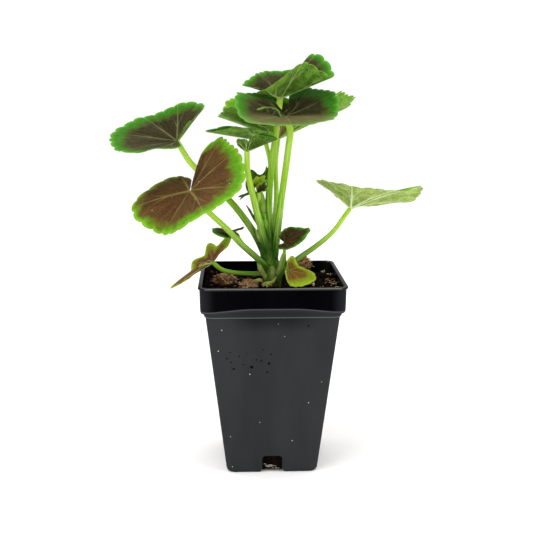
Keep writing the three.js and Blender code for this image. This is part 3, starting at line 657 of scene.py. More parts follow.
def make_leaf(leaf, replaced=()):
    """One blade as a closed thin sheet with sunken veins above and raised ones below."""
    small = leaf["size"] < SMALL_SIZE
    columns = leaf["teeth"] * (SMALL_POINTS_PER_TOOTH if small else POINTS_PER_TOOTH)
    rows = SMALL_RINGS if small else RINGS
    angles = np.linspace(-SINUS_ANGLE, SINUS_ANGLE, columns + 1)
    parts = (np.arange(1, rows + 1) / rows) ** 0.9
    part, angle = np.meshgrid(parts, angles, indexing="ij")
    scale = leaf["size"] / FULL_SIZE
    middle = blade_points(leaf, angle, part)
    normal = grid_normals(middle)

    vein = vein_field(leaf, angle, part)
    to_vein = np.min([np.abs(angles - main) for main in VEIN_ANGLES], axis=0) / (LOBE_ANGLE / 2)
    swell = np.sin(np.pi / 2 * np.clip(to_vein, 0, 1))[None, :] ** 2 * np.sin(np.pi * part**0.8)
    phase = leaf_phase(leaf)
    ruffle = np.sin(np.radians(angle) * 5.5 + phase) + 0.6 * np.sin(np.radians(angle) * 11 + 2 * phase)
    relief = SWELL * scale * swell + RUFFLE * scale * ruffle * part**4 * 0.6
    thickness = HUB_THICKNESS + (MARGIN_THICKNESS - HUB_THICKNESS) * part**1.5
    thickness[-1] = 0.4 * MARGIN_THICKNESS
    above = middle + normal * (relief + thickness / 2 - VEIN_SUNK * scale**0.5 * vein)[..., None]
    below = middle + normal * (relief - thickness / 2 - VEIN_RAISED * scale**0.5 * vein)[..., None]

    hub_normal = normal[0].mean(axis=0)
    hub_normal /= np.linalg.norm(hub_normal)
    hub = [hub_normal * HUB_THICKNESS / 2, -hub_normal * HUB_THICKNESS / 2]
    points = np.concatenate([hub, above.reshape(-1, 3), below.reshape(-1, 3)])
    points = points @ leaf_matrix(leaf).T + np.array(leaf["at"])

    green = smooth_at(angle, VEIN_ANGLES, leaf.get("green", EVEN_GREEN))
    reach = margin_reach(leaf, angle)
    zone = (1 - green - part) * reach / leaf["size"]
    rim = (1 - part) * reach
    slot_name = "young_leaf" if leaf["look"] in (YOUNG, RUSTY) else "leaf"
    piece = add_mesh(leaf["name"] + "_blade", points, blade_faces(rows, columns), slot_name,
                     leaf_material(leaf), replaced)
    # The front's painted sheen: full near the middle vein and fading out past the given angle, standing
    # in for down that catches light at a grazing angle
    pale = np.clip((leaf.get("painted_sheen_front", 0) - np.abs(angle)) / PAINTED_SHEEN_FADE, 0, 1)
    fields = {"turn": (0, angle / LOBE_ANGLE), "part": (0, part), "zone": (1, zone),
              "pale": (0, pale), "vein": (1, vein), "rim": (FAR_FROM_RIM, rim)}
    for name, (at_hub, field) in fields.items():
        set_attribute(piece, name, np.concatenate([[at_hub, at_hub], field.ravel(), field.ravel()]))
    set_attribute(piece, "under", np.concatenate([[0, 1], np.zeros(part.size), np.ones(part.size)]))


def leaf_material(leaf):
    """Bronze centre zone with a soft ragged edge, green margin, pale veins and a downy surface."""
    look = leaf["look"]
    shader = Shader(leaf["name"] + "_skin")
    place = shader.place()
    zone = shader.attribute("zone")
    vein = shader.attribute("vein")
    rim = shader.attribute("rim")
    under = shader.attribute("under")
    rays = shader.joined_axes(shader.attribute("turn"), shader.attribute("part"), leaf_phase(leaf))
    streaks = shader.noise(shader.stretched(rays, (6, 2, 1)), 1, 5, 0.6)
    blotch = shader.noise(place, 190, 6, 0.6)
    broad = shader.noise(place, 45, 3)
    fine = shader.noise(place, 1400, 3)
    cells = shader.ramp(shader.cells(place, 420), 0, 0.13)

    ragged = shader.mix(0.6, streaks, blotch)
    ragged = shader.times(shader.math("SUBTRACT", ragged, 0.5), 0.5)
    along_veins = shader.times(vein, 0.08)
    edge_place = shader.math("ADD", shader.math("ADD", zone, ragged), along_veins)
    inside = shader.ramp(edge_place, 0.02, 0.1)
    fringe = shader.ramp(edge_place, -0.1, 0.05)
    bronze = shader.mix(shader.ramp(streaks, 0.2, 0.8), look["dark"], look["light"])
    bronze = shader.over(bronze, look["light"], broad, 0.35, 0.75, 0, 0.5)
    bronze = shader.over(bronze, look["vein"], cells, 0, 1, 0.07, 0)
    green = shader.mix(shader.ramp(rim, 0, 4), look["rim"], look["edge"])
    green = shader.over(green, look["rim"], cells, 0, 1, 0.3, 0)
    green = shader.over(green, look["fringe"], blotch, 0.5, 0.7, 0, 0.35)
    upper = shader.mix(fringe, green, look["fringe"])
    upper = shader.mix(inside, upper, bronze)
    upper = shader.over(upper, look["vein"], vein, 0.04, 0.7, 0, 0.42)
    # Painted sheen: a pale khaki lightens the blade's front where down would catch light at a grazing
    # angle
    upper = shader.mix(shader.times(shader.attribute("pale"), 0.3), upper, "#8C8C58")

    through = shader.times(inside, look["through"])
    lower = shader.mix(shader.ramp(blotch, 0.35, 0.65), look["under"], look["patch"])
    lower = shader.over(lower, look["under_vein"], cells, 0, 1, 0.2, 0)
    lower = shader.mix(through, lower, look["under_zone"])
    lower = shader.over(lower, look["under_vein"], vein, 0.05, 0.5, 0, 0.9)
    colour = shader.mix(under, upper, lower)
    colour = shader.over(colour, "#8FB45A", rim, 0.05, 0.45, 0.4, 0)

    pores = shader.bump(cells, 0.25, 0.15)
    down = shader.bump(fine, 0.3, 0.1, pores)
    roughness = shader.ramp(fine, 0.3, 0.7, 0.7, 0.85)
    return shader.finish(Base_Color=colour, Normal=down, Roughness=roughness, Specular_IOR_Level=0.05,
                         Subsurface_Weight=0.1, Subsurface_Scale=0.001, Subsurface_Radius=(0.6, 1, 0.15),
                         Sheen_Weight=0.12, Sheen_Roughness=0.35, Sheen_Tint="#C8C070")


def curve_through(route, count):
    """count + 1 evenly spaced points of a smooth curve through a route."""
    route = np.array(route, float)
    points = np.vstack([2 * route[0] - route[1], route, 2 * route[-1] - route[-2]])
    t = np.linspace(0, 1, CURVE_STEPS, endpoint=False)[:, None]
    dense = []
    for a, b, c, d in zip(points, points[1:], points[2:], points[3:]):
        before, span, after = (np.linalg.norm(q - p) ** 0.5 for p, q in ((a, b), (b, c), (c, d)))
        leave = ((b - a) / before - (c - a) / (before + span) + (c - b) / span) * span
        arrive = ((c - b) / span - (d - b) / (span + after) + (d - c) / after) * span
        bend = (2 * t**3 - 3 * t**2 + 1) * b + (t**3 - 2 * t**2 + t) * leave
        dense.append(bend + (3 * t**2 - 2 * t**3) * c + (t**3 - t**2) * arrive)
    dense = np.vstack([*dense, route[-1:]])
    lengths = np.concatenate([[0], np.cumsum(np.linalg.norm(np.diff(dense, axis=0), axis=1))])
    stations = np.linspace(0, lengths[-1], count + 1)
    return np.stack([np.interp(stations, lengths, dense[:, axis]) for axis in range(3)], axis=1)


def frames_along(centres):
    """Two directions across the curve at each point, turning as little as they can."""
    tangents = np.gradient(centres, axis=0)
    tangents /= np.linalg.norm(tangents, axis=1, keepdims=True)
    side = np.cross(tangents[0], [0.31, 0.9, 0.17])
    sides = []
    for tangent in tangents:
        side = side - tangent * np.dot(side, tangent)
        side /= np.linalg.norm(side)
        sides.append(side)
    sides = np.array(sides)
    return sides, np.cross(tangents, sides)


def tube(route, radii, sides, spacing):
    """Points and faces of a closed tube whose radius changes along its length."""
    length = sum(math.dist(p, q) for p, q in zip(route, route[1:]))
    count = max(3, round(length / spacing))
    centres = curve_through(route, count)
    places = np.linspace(0, 1, len(radii))
    radius = smooth_at(np.linspace(0, 1, count + 1), places, radii)
    first, second = frames_along(centres)
    turns = np.linspace(0, 2 * np.pi, sides, endpoint=False)
    rings = centres[:, None] + radius[:, None, None] * (
        np.cos(turns)[None, :, None] * first[:, None] + np.sin(turns)[None, :, None] * second[:, None])
    return loft(rings)


def loft(rings):
    """Points and faces of a closed form through rings of equally many points, ends capped."""
    count = rings.shape[1]
    points = np.concatenate([rings.reshape(-1, 3), [rings[0].mean(axis=0), rings[-1].mean(axis=0)]])
    first = len(points) - 2
    top = (len(rings) - 1) * count
    faces = []
    for i in range(count):
        after = (i + 1) % count
        faces.append((first, after, i))
        faces.append((first + 1, top + i, top + after))
        for row in range(0, top, count):
            faces.append((row + i, row + after, row + count + after, row + count + i))
    return points, faces


def joined(parts):
    """Several sets of points and faces as one."""
    points = []
    faces = []
    start = 0
    for some_points, some_faces in parts:
        points.append(some_points)
        faces.extend(tuple(start + corner for corner in face) for face in some_faces)
        start += len(some_points)
    return np.concatenate(points), faces


def apply_modifiers(piece):
    bpy.context.view_layer.update()
    shaped = bpy.data.meshes.new_from_object(piece.evaluated_get(bpy.context.evaluated_depsgraph_get()))
    piece.modifiers.clear()
    piece.data = shaped


def stalk_route(stalk):
    leaf = next(leaf for leaf in LEAVES if leaf["name"] == stalk["to"])
    return [*stalk["route"], leaf["at"]]


def make_stems():
    """The main stem and all stalks, grown together with soft joints."""
    tubes = [tube(MAIN_STEM["route"], MAIN_STEM["radii"], STEM_SIDES, TUBE_SPACING)]
    tubes += [tube(stalk_route(stalk), stalk["radii"], STALK_SIDES, TUBE_SPACING) for stalk in STALKS]
    points, faces = joined(tubes)
    piece = add_mesh("stems_grown", points, faces, "stalk", stalk_material(), ["stems"])
    remesh = piece.modifiers.new("grown together", "REMESH")
    remesh.mode = "VOXEL"
    remesh.voxel_size = STEM_VOXEL * MM
    soften = piece.modifiers.new("softened", "SMOOTH")
    soften.iterations = 4
    soften.factor = 0.5
    apply_modifiers(piece)
    piece.data.shade_smooth()
    mark_stems(piece)


def mark_stems(piece):
    """Stores what the stems' material reads at each point: how far along the nearest stalk it lies,
    its place across and along that stalk, whether that is the main stem, how near the main stem's
    middle it is, and how deep it lies between stalks, where the material paints shade."""
    samples = []
    for route, main in [(MAIN_STEM["route"], 1)] + [(stalk_route(stalk), 0) for stalk in STALKS]:
        centres = curve_through(route, STEM_STATIONS)
        length = np.linalg.norm(np.diff(centres, axis=0), axis=1).sum()
        for k, (centre, *sides) in enumerate(zip(centres, *frames_along(centres))):
            along = k / STEM_STATIONS
            samples.append((centre, sides, along, along * length, main))
    tree = kdtree.KDTree(len(samples))
    for i, sample in enumerate(samples):
        tree.insert(sample[0] * MM, i)
    tree.balance()
    values = []
    for vertex in piece.data.vertices:
        centre, sides, along, distance, main = samples[tree.find(vertex.co)[1]]
        offset = np.array(vertex.co) / MM - centre
        values.append((along, main, offset @ sides[0], offset @ sides[1], distance))
    for name, column in zip(("along", "main", "side_1", "side_2", "length"), np.array(values).T):
        set_attribute(piece, name, column)
    axis = curve_through(MAIN_STEM["route"], 60)
    places = np.array([vertex.co for vertex in piece.data.vertices]) / MM
    away = [np.linalg.norm(axis - place, axis=1).min() for place in places]
    set_attribute(piece, "core", np.clip((CORE_REACH - np.array(away)) / CORE_FADE, 0, 1))
    set_attribute(piece, "hollow", hollow_depths(piece.data))


def hollow_depths(mesh):
    """How far smoothing would lift each point of a mesh, in millimetres: positive between stalks."""
    count = len(mesh.vertices)
    points = np.empty(3 * count)
    mesh.vertices.foreach_get("co", points)
    points = points.reshape(-1, 3)
    ends = np.empty(2 * len(mesh.edges), np.int64)
    mesh.edges.foreach_get("vertices", ends)
    ends = ends.reshape(-1, 2)
    near = np.concatenate([ends[:, 0], ends[:, 1]])
    far = np.concatenate([ends[:, 1], ends[:, 0]])
    neighbours = np.maximum(np.bincount(near, minlength=count), 1)
    smooth = points
    for _ in range(HOLLOW_ROUNDS):
        totals = [np.bincount(near, smooth[far, axis], count) for axis in range(3)]
        smooth = np.stack(totals, axis=1) / neighbours[:, None]
    normals = np.array([vertex.normal for vertex in mesh.vertices])
    return ((smooth - points) * normals).sum(axis=1) / MM


def stalk_material():
    """Light green stalks, paler and yellower upwards, with fine streaks and down, and painted shade low
    down near the pot and in the hollows between stalks.
    """
    shader = Shader("stalk_skin")
    place = shader.place()
    own_place = shader.joined_axes(*[shader.attribute(name) for name in ("side_1", "side_2", "length")])
    streaks = shader.noise(shader.stretched(own_place, (0.9, 0.9, 0.04)), 1, 4)
    blotch = shader.noise(place, 110, 4)
    fine = shader.noise(place, 2200, 2)
    along = shader.attribute("along")
    main = shader.attribute("main")
    height = shader.axis(place, "Z")
    stalk = shader.mix(shader.ramp(along, 0.05, 0.5), "#326C05", "#76AC18")
    stalk = shader.over(stalk, "#A4CE38", along, 0.35, 0.85)
    stalk = shader.over(stalk, "#CCE67A", streaks, 0.42, 0.6, 0, 0.5)
    # Painted shade: stalks darken low down, where the pot shades them
    stalk = shader.over(stalk, "#2F6406", height, 0.12, 0.165, 0.55, 0)
    stem = shader.mix(shader.ramp(blotch, 0.35, 0.65), "#346E04", "#629A12")
    pale = shader.times(shader.ramp(height, 0.118, 0.124), shader.ramp(height, 0.128, 0.136, 1, 0))
    stem = shader.mix(shader.times(pale, 0.75), stem, "#A6C850")
    stem = shader.over(stem, "#A8C85C", streaks, 0.45, 0.65, 0, 0.35)
    node = shader.times(shader.ramp(height, 0.13, 0.137), shader.ramp(height, 0.146, 0.156, 1, 0))
    colour = shader.mix(main, stalk, stem)
    core = shader.times(shader.attribute("core"), 0.75)
    colour = shader.mix(shader.times(node, core), colour, "#264E08")
    # Painted shade in the hollows between stalks
    colour = shader.over(colour, "#1F4206", shader.attribute("hollow"), -0.08, 0.2, 0, 0.75)
    foot = shader.ramp(height, 0.115, 0.12, 1, 0)
    colour = shader.mix(shader.times(foot, 0.75), colour, "#4A4A1A")
    ridges = shader.bump(streaks, 0.4, 0.25)
    down = shader.bump(fine, 0.35, 0.08, ridges)
    roughness = shader.ramp(blotch, 0.2, 0.8, 0.42, 0.6)
    return shader.finish(Base_Color=colour, Normal=down, Roughness=roughness, Specular_IOR_Level=0.07,
                         Subsurface_Weight=0.2, Subsurface_Scale=0.003, Subsurface_Radius=(0.7, 1, 0.2))


def make_stipules():
    skins = {
        "papery": flap_material("papery_skin", "#7FA63A", "#B9C87C", "#A9935A"),
        "green": flap_material("green_flap_skin", "#1E3A10", "#4E7A2C", "#5A5A30"),
        "streaked": flap_material("sheath_skin", "#5C8428", "#8FB04A", "#8A4E1E"),
        "brown": flap_material("brown_flap_skin", "#1C1408", "#4C3A1E", "#96805A"),
        "withered": flap_material("withered_skin", "#8E9038", "#D2D088", "#9A7436"),
    }
    for stipule in STIPULES:
        add_mesh(stipule["name"], *flap_form(stipule), "stalk", skins[stipule["look"]])


def flap_form(stipule):
    """Points and faces of a thin pointed flap, cupped across its width."""
    centres = curve_through(stipule["route"], FLAP_ROWS)
    away = centres - np.array(MAIN_STEM["route"][1])
    away[:, 2] = 0
    away = np.broadcast_to(stipule.get("face", away), centres.shape)
    tangent = np.gradient(centres, axis=0)
    tangent /= np.linalg.norm(tangent, axis=1, keepdims=True)
    across = np.cross(tangent, away)
    across /= np.linalg.norm(across, axis=1, keepdims=True)
    outward = np.cross(across, tangent)
    along = np.linspace(0, 1, FLAP_ROWS + 1)
    half = stipule["width"] / 2 * (1 - along**2.2) ** 0.8 * (0.75 + 0.5 * along) + 0.12
    place = np.linspace(-1, 1, FLAP_COLUMNS + 1)
    place = np.concatenate([place, place[::-1]])
    layer = np.repeat([FLAP_HALF_THICKNESS, -FLAP_HALF_THICKNESS], FLAP_COLUMNS + 1)
    side = half[:, None] * place
    wavy = 0.15 * np.sin(9 * place + np.arange(FLAP_ROWS + 1)[:, None])
    rise = -0.9 * side * place + wavy + layer * (1 - 0.7 * np.abs(place))
    return loft(centres[:, None] + across[:, None] * side[..., None] + outward[:, None] * rise[..., None])


def flap_material(name, dark, light, spotted):
    """Thin dry or leafy flaps, streaked along their length."""
    shader = Shader(name)
    place = shader.place()
    streaks = shader.noise(shader.stretched(place, (1, 1, 0.15)), 900, 3)
    colour = shader.mix(shader.ramp(streaks, 0.3, 0.7), dark, light)
    colour = shader.over(colour, spotted, shader.noise(place, 240, 3), 0.5, 0.7, 0, 0.7)
    return shader.finish(Base_Color=colour, Normal=shader.bump(streaks, 0.5, 0.12), Roughness=0.65,
                         Subsurface_Weight=0.1, Subsurface_Scale=0.001, Specular_IOR_Level=0.1)


def body_half(z):
    return FOOT_WIDTH / 2 + (BODY_TOP_WIDTH - FOOT_WIDTH) / 2 * (z / BAND_BOTTOM)


def ring_points(half, radius, side_steps):
    """The outline of a rounded square, counterclockwise, as x and y."""
    reach = half - radius
    angles = np.linspace(0, np.pi / 2, CORNER_STEPS + 1)
    corner = reach + radius * np.stack([np.cos(angles), np.sin(angles)], axis=1)
    steps = np.arange(1, side_steps) / side_steps
    side = np.stack([reach - 2 * reach * steps, np.full(len(steps), half)], axis=1)
    quarters = [np.vstack([corner, side])]
    for _ in range(3):
        quarters.append(quarters[-1] @ [[0, 1], [-1, 0]])
    return np.vstack(quarters)


def rounded(profile, steps=5):
    """A profile of (half width, height, fillet radius) corners as a fine line of (half, z)."""
    line = []
    places = [np.array(corner[:2], float) for corner in profile]
    for i, (half, z, fillet) in enumerate(profile):
        if fillet == 0 or i in (0, len(profile) - 1):
            line.append((half, z))
            continue
        here = places[i]
        back = places[i - 1] - here
        ahead = places[i + 1] - here
        start = here + back * min(fillet / np.linalg.norm(back), 0.45)
        end = here + ahead * min(fillet / np.linalg.norm(ahead), 0.45)
        for k in range(steps + 1):
            t = k / steps
            line.append(tuple((1 - t) ** 2 * start + 2 * t * (1 - t) * here + t**2 * end))
    return line


def make_pot():
    """The pot's shell: lip, rim band, a bead under it, tapered body, foot and inside."""
    bead_bottom = BAND_BOTTOM - BEAD_HEIGHT
    lip_bottom = POT_HEIGHT - LIP_HEIGHT
    outside = rounded([
        (FOOT_WIDTH / 2 - FOOT_INSET, 0, 0),
        (FOOT_WIDTH / 2, 0, FOOT_ROUNDING),
        (body_half(bead_bottom), bead_bottom, 0.6),
        (body_half(bead_bottom) + BEAD_DEPTH, bead_bottom + 0.8, 0.6),
        (body_half(BAND_BOTTOM) + BEAD_DEPTH + 0.3, BAND_BOTTOM, 0.6),
        (BAND_BOTTOM_WIDTH / 2, BAND_BOTTOM, 3),
        (BAND_TOP_WIDTH / 2, lip_bottom, 0.5),
        (LIP_WIDTH / 2, lip_bottom + 0.4, 0.5),
        (LIP_WIDTH / 2, POT_HEIGHT, 0.7),
        (BAND_TOP_WIDTH / 2 - WALL, POT_HEIGHT, 0.7),
        (BAND_BOTTOM_WIDTH / 2 - WALL, BAND_BOTTOM + WALL, 0.6),
        (body_half(BAND_BOTTOM) - WALL, BAND_BOTTOM + WALL - 0.4, 0.4),
        (body_half(FLOOR) - WALL, FLOOR, 0),
    ])
    finer = [outside[0]]
    for (half, z), (next_half, next_z) in zip(outside, outside[1:]):
        steps = max(1, round(math.dist((half, z), (next_half, next_z)) / POT_RING_GAP))
        for k in range(1, steps + 1):
            finer.append((half + (next_half - half) * k / steps, z + (next_z - z) * k / steps))
    rings = []
    top_seen = False
    for half, z in finer:
        top_seen = top_seen or z >= POT_HEIGHT - 0.01
        radius = FOOT_CORNER_RADIUS + (TOP_CORNER_RADIUS - FOOT_CORNER_RADIUS) * z / POT_HEIGHT
        radius -= WALL if top_seen else 0
        if (half, z) == finer[0]:
            radius = UNDERSIDE_CORNER_RADIUS
        outline = ring_points(half, radius, POT_SIDE_STEPS)
        x, y = outline.T
        share = np.minimum(np.abs(x), np.abs(y)) / half
        near_edge = math.exp(-(((z - BAND_BOTTOM - ARCH_MIDDLE) / ARCH_FADE) ** 2))
        arch = BAND_ARCH * np.clip(1 - (share / ARCH_SHARE) ** 2, 0, 1) * near_edge * (not top_seen)
        rings.append(np.column_stack([x, y, z + arch]))
    points, faces = loft(np.array(rings))
    piece = add_mesh("pot_shell", points, faces, "pot_plastic", pot_material(), ["pot"])
    cutter = notch_cutter()
    notch = piece.modifiers.new("drain notches", "BOOLEAN")
    notch.operation = "DIFFERENCE"
    notch.solver = "EXACT"
    notch.object = cutter
    apply_modifiers(piece)
    bpy.data.objects.remove(cutter)
    piece.data.shade_smooth()
    piece.data.set_sharp_from_angle(angle=math.radians(40))


def notch_cutter():
    """Four arches that cut the drain notches through the foot of the walls."""
    half = NOTCH_WIDTH / 2
    right = [(half + out, z) for out, z in NOTCH_FLARE]
    for k in range(NOTCH_ARC_STEPS + 1):
        turn = k / NOTCH_ARC_STEPS * math.pi / 2
        right.append((half - NOTCH_SHOULDER + NOTCH_SHOULDER * math.cos(turn),
                      NOTCH_HEIGHT - NOTCH_SHOULDER + NOTCH_SHOULDER * math.sin(turn)))
    outline = right + [(-x, z) for x, z in right[::-1]]
    front = -FOOT_WIDTH / 2 - NOTCH_DEPTH
    back = -FOOT_WIDTH / 2 + NOTCH_DEPTH
    parts = []
    for side in range(4):
        turn = np.array(Matrix.Rotation(side * math.pi / 2, 3, "Z"))
        rings = np.array([[(x, y, z) for x, z in outline] for y in (back, front)])
        parts.append(loft(rings @ turn.T))
    return mesh_object("notches", *joined(parts))


def pot_material():
    """Moulded black plastic: matte body with faint flow marks, painted a lighter grey as a reflection of
    the pale floor, and a glossy near-black band and inside. Painted highlights lie along the band's
    corners and lower edge, on the bead and on the lip, and a painted shadow lies under the bead.
    """
    shader = Shader("pot_plastic_skin")
    place = shader.place()
    flow = shader.noise(shader.stretched(place, (1, 1, 0.25)), 45, 4)
    grain = shader.noise(place, 2600, 3)
    scuff = shader.noise(place, 260, 6, 0.7)
    height = shader.axis(place, "Z")
    step = BAND_BOTTOM * MM
    top = POT_HEIGHT * MM
    outward, sideward = shader.square_places(place)
    arched = shader.math("SUBTRACT", height, shader.ramp(sideward, 0.012, 0.042, 0.002, 0))
    # Mask of the glossy band and inside: there the colour stays near black, while the body gets a painted
    # reflection of the pale floor as a lighter grey
    band_gloss_and_painted_reflection = shader.ramp(arched, step + 0.0007, step + 0.0019)
    body = shader.mix(shader.ramp(flow, 0.3, 0.7), "#2B2C2D", "#313233")
    body = shader.over(body, "#3A3B3C", scuff, 0.6, 0.8, 0, 0.3)
    # Painted shadow: the body darkens just under the bead, most along the middle of each side
    near_middle = shader.ramp(sideward, 0.01, 0.032, 1, 0)
    painted_shadow_under_bead = shader.times(shader.ramp(height, step - 0.0135, step - 0.0035), near_middle)
    body = shader.mix(shader.times(painted_shadow_under_bead, 0.6), body, "#101012")
    # Painted highlights: a light line along the bead's lower edge, and light on the bead's upward-facing
    # top
    painted_bead_highlight_distance = shader.apart(height, step - 0.0024)
    body = shader.over(body, "#6C6D6E", painted_bead_highlight_distance, 0.0001, 0.0005, 0.6, 0)
    body = shader.over(body, "#2C2D30", height, step - 0.0023, step - 0.0015, 0, 0.5)
    band = shader.mix(shader.ramp(flow, 0.3, 0.7), "#010102", "#040406")
    # Painted reflections lighten the band towards its rounded corners
    band = shader.over(band, "#2E2F33", sideward, 0.034, 0.043, 0, 0.5)
    colour = shader.mix(band_gloss_and_painted_reflection, body, band)
    # Painted highlight: a light line along the band's lower edge
    painted_band_highlight_distance = shader.apart(arched, step + 0.0013)
    colour = shader.over(colour, "#5A5B60", painted_band_highlight_distance, 0.0001, 0.0006, 0.5, 0)
    # Painted highlights: light lines along the lip's top edges
    painted_lip_edge_highlights = shader.ramp(shader.apart(outward, 0.0434), 0.0011, 0.0015, 0, 0.9)
    painted_lip_edge_highlights = shader.times(painted_lip_edge_highlights, shader.ramp(height, top - 0.0007, top - 0.0002))
    colour = shader.mix(painted_lip_edge_highlights, colour, "#7A7B76")
    # Painted highlight on the lip's outer face
    lip_side = LIP_WIDTH / 2 * MM
    painted_lip_face_highlight = shader.ramp(outward, lip_side - 0.0006, lip_side - 0.0002, 0, 0.3)
    colour = shader.mix(painted_lip_face_highlight, colour, "#5A5B57")
    roughness = shader.ramp(band_gloss_and_painted_reflection, 0, 1, 0.5, 0.2)
    return shader.finish(Base_Color=colour, Roughness=roughness, Specular_IOR_Level=0.01,
                         Normal=shader.bump(grain, 0.25, 0.06, shader.bump(flow, 0.3, 0.3)))


def make_marks():
    """Droplets and dust on the pot's front wall, and specks on a leaf."""
    slope = math.atan2((BODY_TOP_WIDTH - FOOT_WIDTH) / 2, BAND_BOTTOM)
    tilt = np.array(Matrix.Rotation(slope, 3, "X"))
    dust = mark_material("dust_skin", 1500, 3, "#8C8577", "#D8D2C6", Roughness=0.9)
    wet = mark_material("droplet_skin", 900, 2, "#010102", "#08090A", Roughness=0.08,
                        Specular_IOR_Level=0.04)
    specks = [pebble(random.Random(i), (0.35, 0.3, 0.35), 2, 0.2) for i in range(len(LEAF_SPECKS))]
    specks = [(points + place, faces) for (points, faces), place in zip(specks, LEAF_SPECKS)]
    add_mesh("leaf_specks", *joined(specks), "leaf", dust)
    for name, marks, depth, skin in (("pot_droplets", DROPLETS, 0.4, wet), ("pot_dust", DUST, 0.8, dust)):
        parts = []
        for x, z, radius in marks:
            chance = random.Random(round(100 * x + z))
            points, faces = pebble(chance, (radius, depth * radius, radius), 2, 0.08)
            parts.append((points @ tilt.T + [x, -body_half(z), z], faces))
        add_mesh(name, *joined(parts), "pot_plastic", skin)


def mark_material(name, scale, detail, dark, light, **surface):
    shader = Shader(name)
    patches = shader.noise(shader.place(), scale, detail)
    return shader.finish(Base_Color=shader.mix(patches, dark, light), **surface)


def pebble(chance, radii, steps, roughness):
    """Points and faces of a small irregular lump around the origin."""
    form = bmesh.new()
    bmesh.ops.create_icosphere(form, subdivisions=steps, radius=1)
    shift = Vector((chance.uniform(0, 50), chance.uniform(0, 50), chance.uniform(0, 50)))
    points = []
    for vertex in form.verts:
        swell = 1 + roughness * 3 * noise.noise(vertex.co * 1.4 + shift)
        points.append([vertex.co[axis] * radii[axis] * swell for axis in range(3)])
    faces = [tuple(vertex.index for vertex in face.verts) for face in form.faces]
    form.free()
    return np.array(points), faces


def soil_surface(x, y):
    """Height of the crumbly soil."""
    z = SOIL_LEVEL + SOIL_CRUMB * math.sin(0.55 * x + 0.9) * math.cos(0.5 * y - 0.4)
    z += 0.6 * SOIL_CRUMB * math.sin(0.23 * x - 0.31 * y + 2)
    z += 1.2 * noise.noise(Vector((0.28 * x, 0.28 * y, 0)))
    z += 0.9 * noise.noise(Vector((0.75 * x, 0.75 * y, 3)))
    return z + 0.5 * noise.noise(Vector((1.9 * x, 1.9 * y, 7)))


def make_soil():
    rings = []
    for half, z in ((body_half(FLOOR) - WALL, FLOOR), (body_half(BAND_BOTTOM) - WALL, BAND_BOTTOM),
                    (SOIL_HALF, BAND_BOTTOM + WALL + 0.3), (SOIL_HALF, SOIL_LEVEL - 4)):
        outline = ring_points(half, SOIL_CORNER_RADIUS, SOIL_SIDE_STEPS)
        rings.append(np.column_stack([outline, np.full(len(outline), z)]))
    for k in range(SOIL_RINGS):
        part = 1 - (k / SOIL_RINGS) ** 1.15 * 0.995
        outline = ring_points(SOIL_HALF * part, SOIL_CORNER_RADIUS * part, SOIL_SIDE_STEPS)
        rings.append(np.array([(x, y, soil_surface(x, y)) for x, y in outline]))
    points, faces = loft(np.array(rings))
    add_mesh("soil_crumb", points, faces, "peat", peat_material(), ["soil"])


def peat_material():
    shader = Shader("peat_skin")
    place = shader.place()
    crumbs = shader.noise(place, 420, 8, 0.72)
    lumps = shader.noise(place, 110, 3)
    specks = shader.cells(place, 900, "F1")
    colour = shader.mix(shader.ramp(crumbs, 0.35, 0.7), "#020101", "#140D08")
    colour = shader.over(colour, "#1E140C", lumps, 0.5, 0.75, 0, 0.5)
    colour = shader.over(colour, "#4E3A26", specks, 0.02, 0.12, 0.5, 0)
    roughness = shader.ramp(crumbs, 0.3, 0.7, 0.95, 0.7)
    return shader.finish(Base_Color=colour, Normal=shader.bump(crumbs, 0.9, 0.9), Roughness=roughness,
                         Specular_IOR_Level=0.03)


def toned_material(name, dark, light, pale):
    """For loose bits: each has a tone of its own between dark, light and pale."""
    shader = Shader(name)
    place = shader.place()
    tone = shader.attribute("tone")
    streaks = shader.noise(place, 1500, 4)
    colour = shader.mix(shader.ramp(tone, 0, 0.6), dark, light)
    colour = shader.over(colour, pale, tone, 0.6, 1)
    colour = shader.over(colour, dark, streaks, 0.35, 0.7, 0.35, 0)
    return shader.finish(Base_Color=colour, Normal=shader.bump(streaks, 0.7, 0.2), Roughness=0.85,
                         Specular_IOR_Level=0.05)


def toned_piece(name, bits, slot_name, material, replaced=()):
    """One piece from many loose bits, each given as points, faces and tone."""
    piece = add_mesh(name, *joined([bit[:2] for bit in bits]), slot_name, material, replaced)
    set_attribute(piece, "tone", np.concatenate([np.full(len(bit[0]), bit[2]) for bit in bits]))


def flake(chance, radii, roughness, spot):
    """Points and faces of a small lump at a place, turned at random."""
    points, faces = pebble(chance, radii, 2, roughness)
    turn = Euler([chance.uniform(0, 2 * math.pi) for _ in range(3)]).to_matrix()
    return points @ np.array(turn).T + spot, faces


def in_lump(lump, shares):
    """Places given in shares of a lump's radii from its middle, as places over the soil."""
    turn = Matrix.Rotation(math.radians(lump["turn"]), 3, "Z")
    return (shares * np.array(lump["radii"])) @ np.array(turn).T + lump["at"]


def upward_ray(chance):
    ray = np.array([chance.gauss(0, 1) for _ in range(3)])
    ray[2] = abs(ray[2])
    return ray / np.linalg.norm(ray)


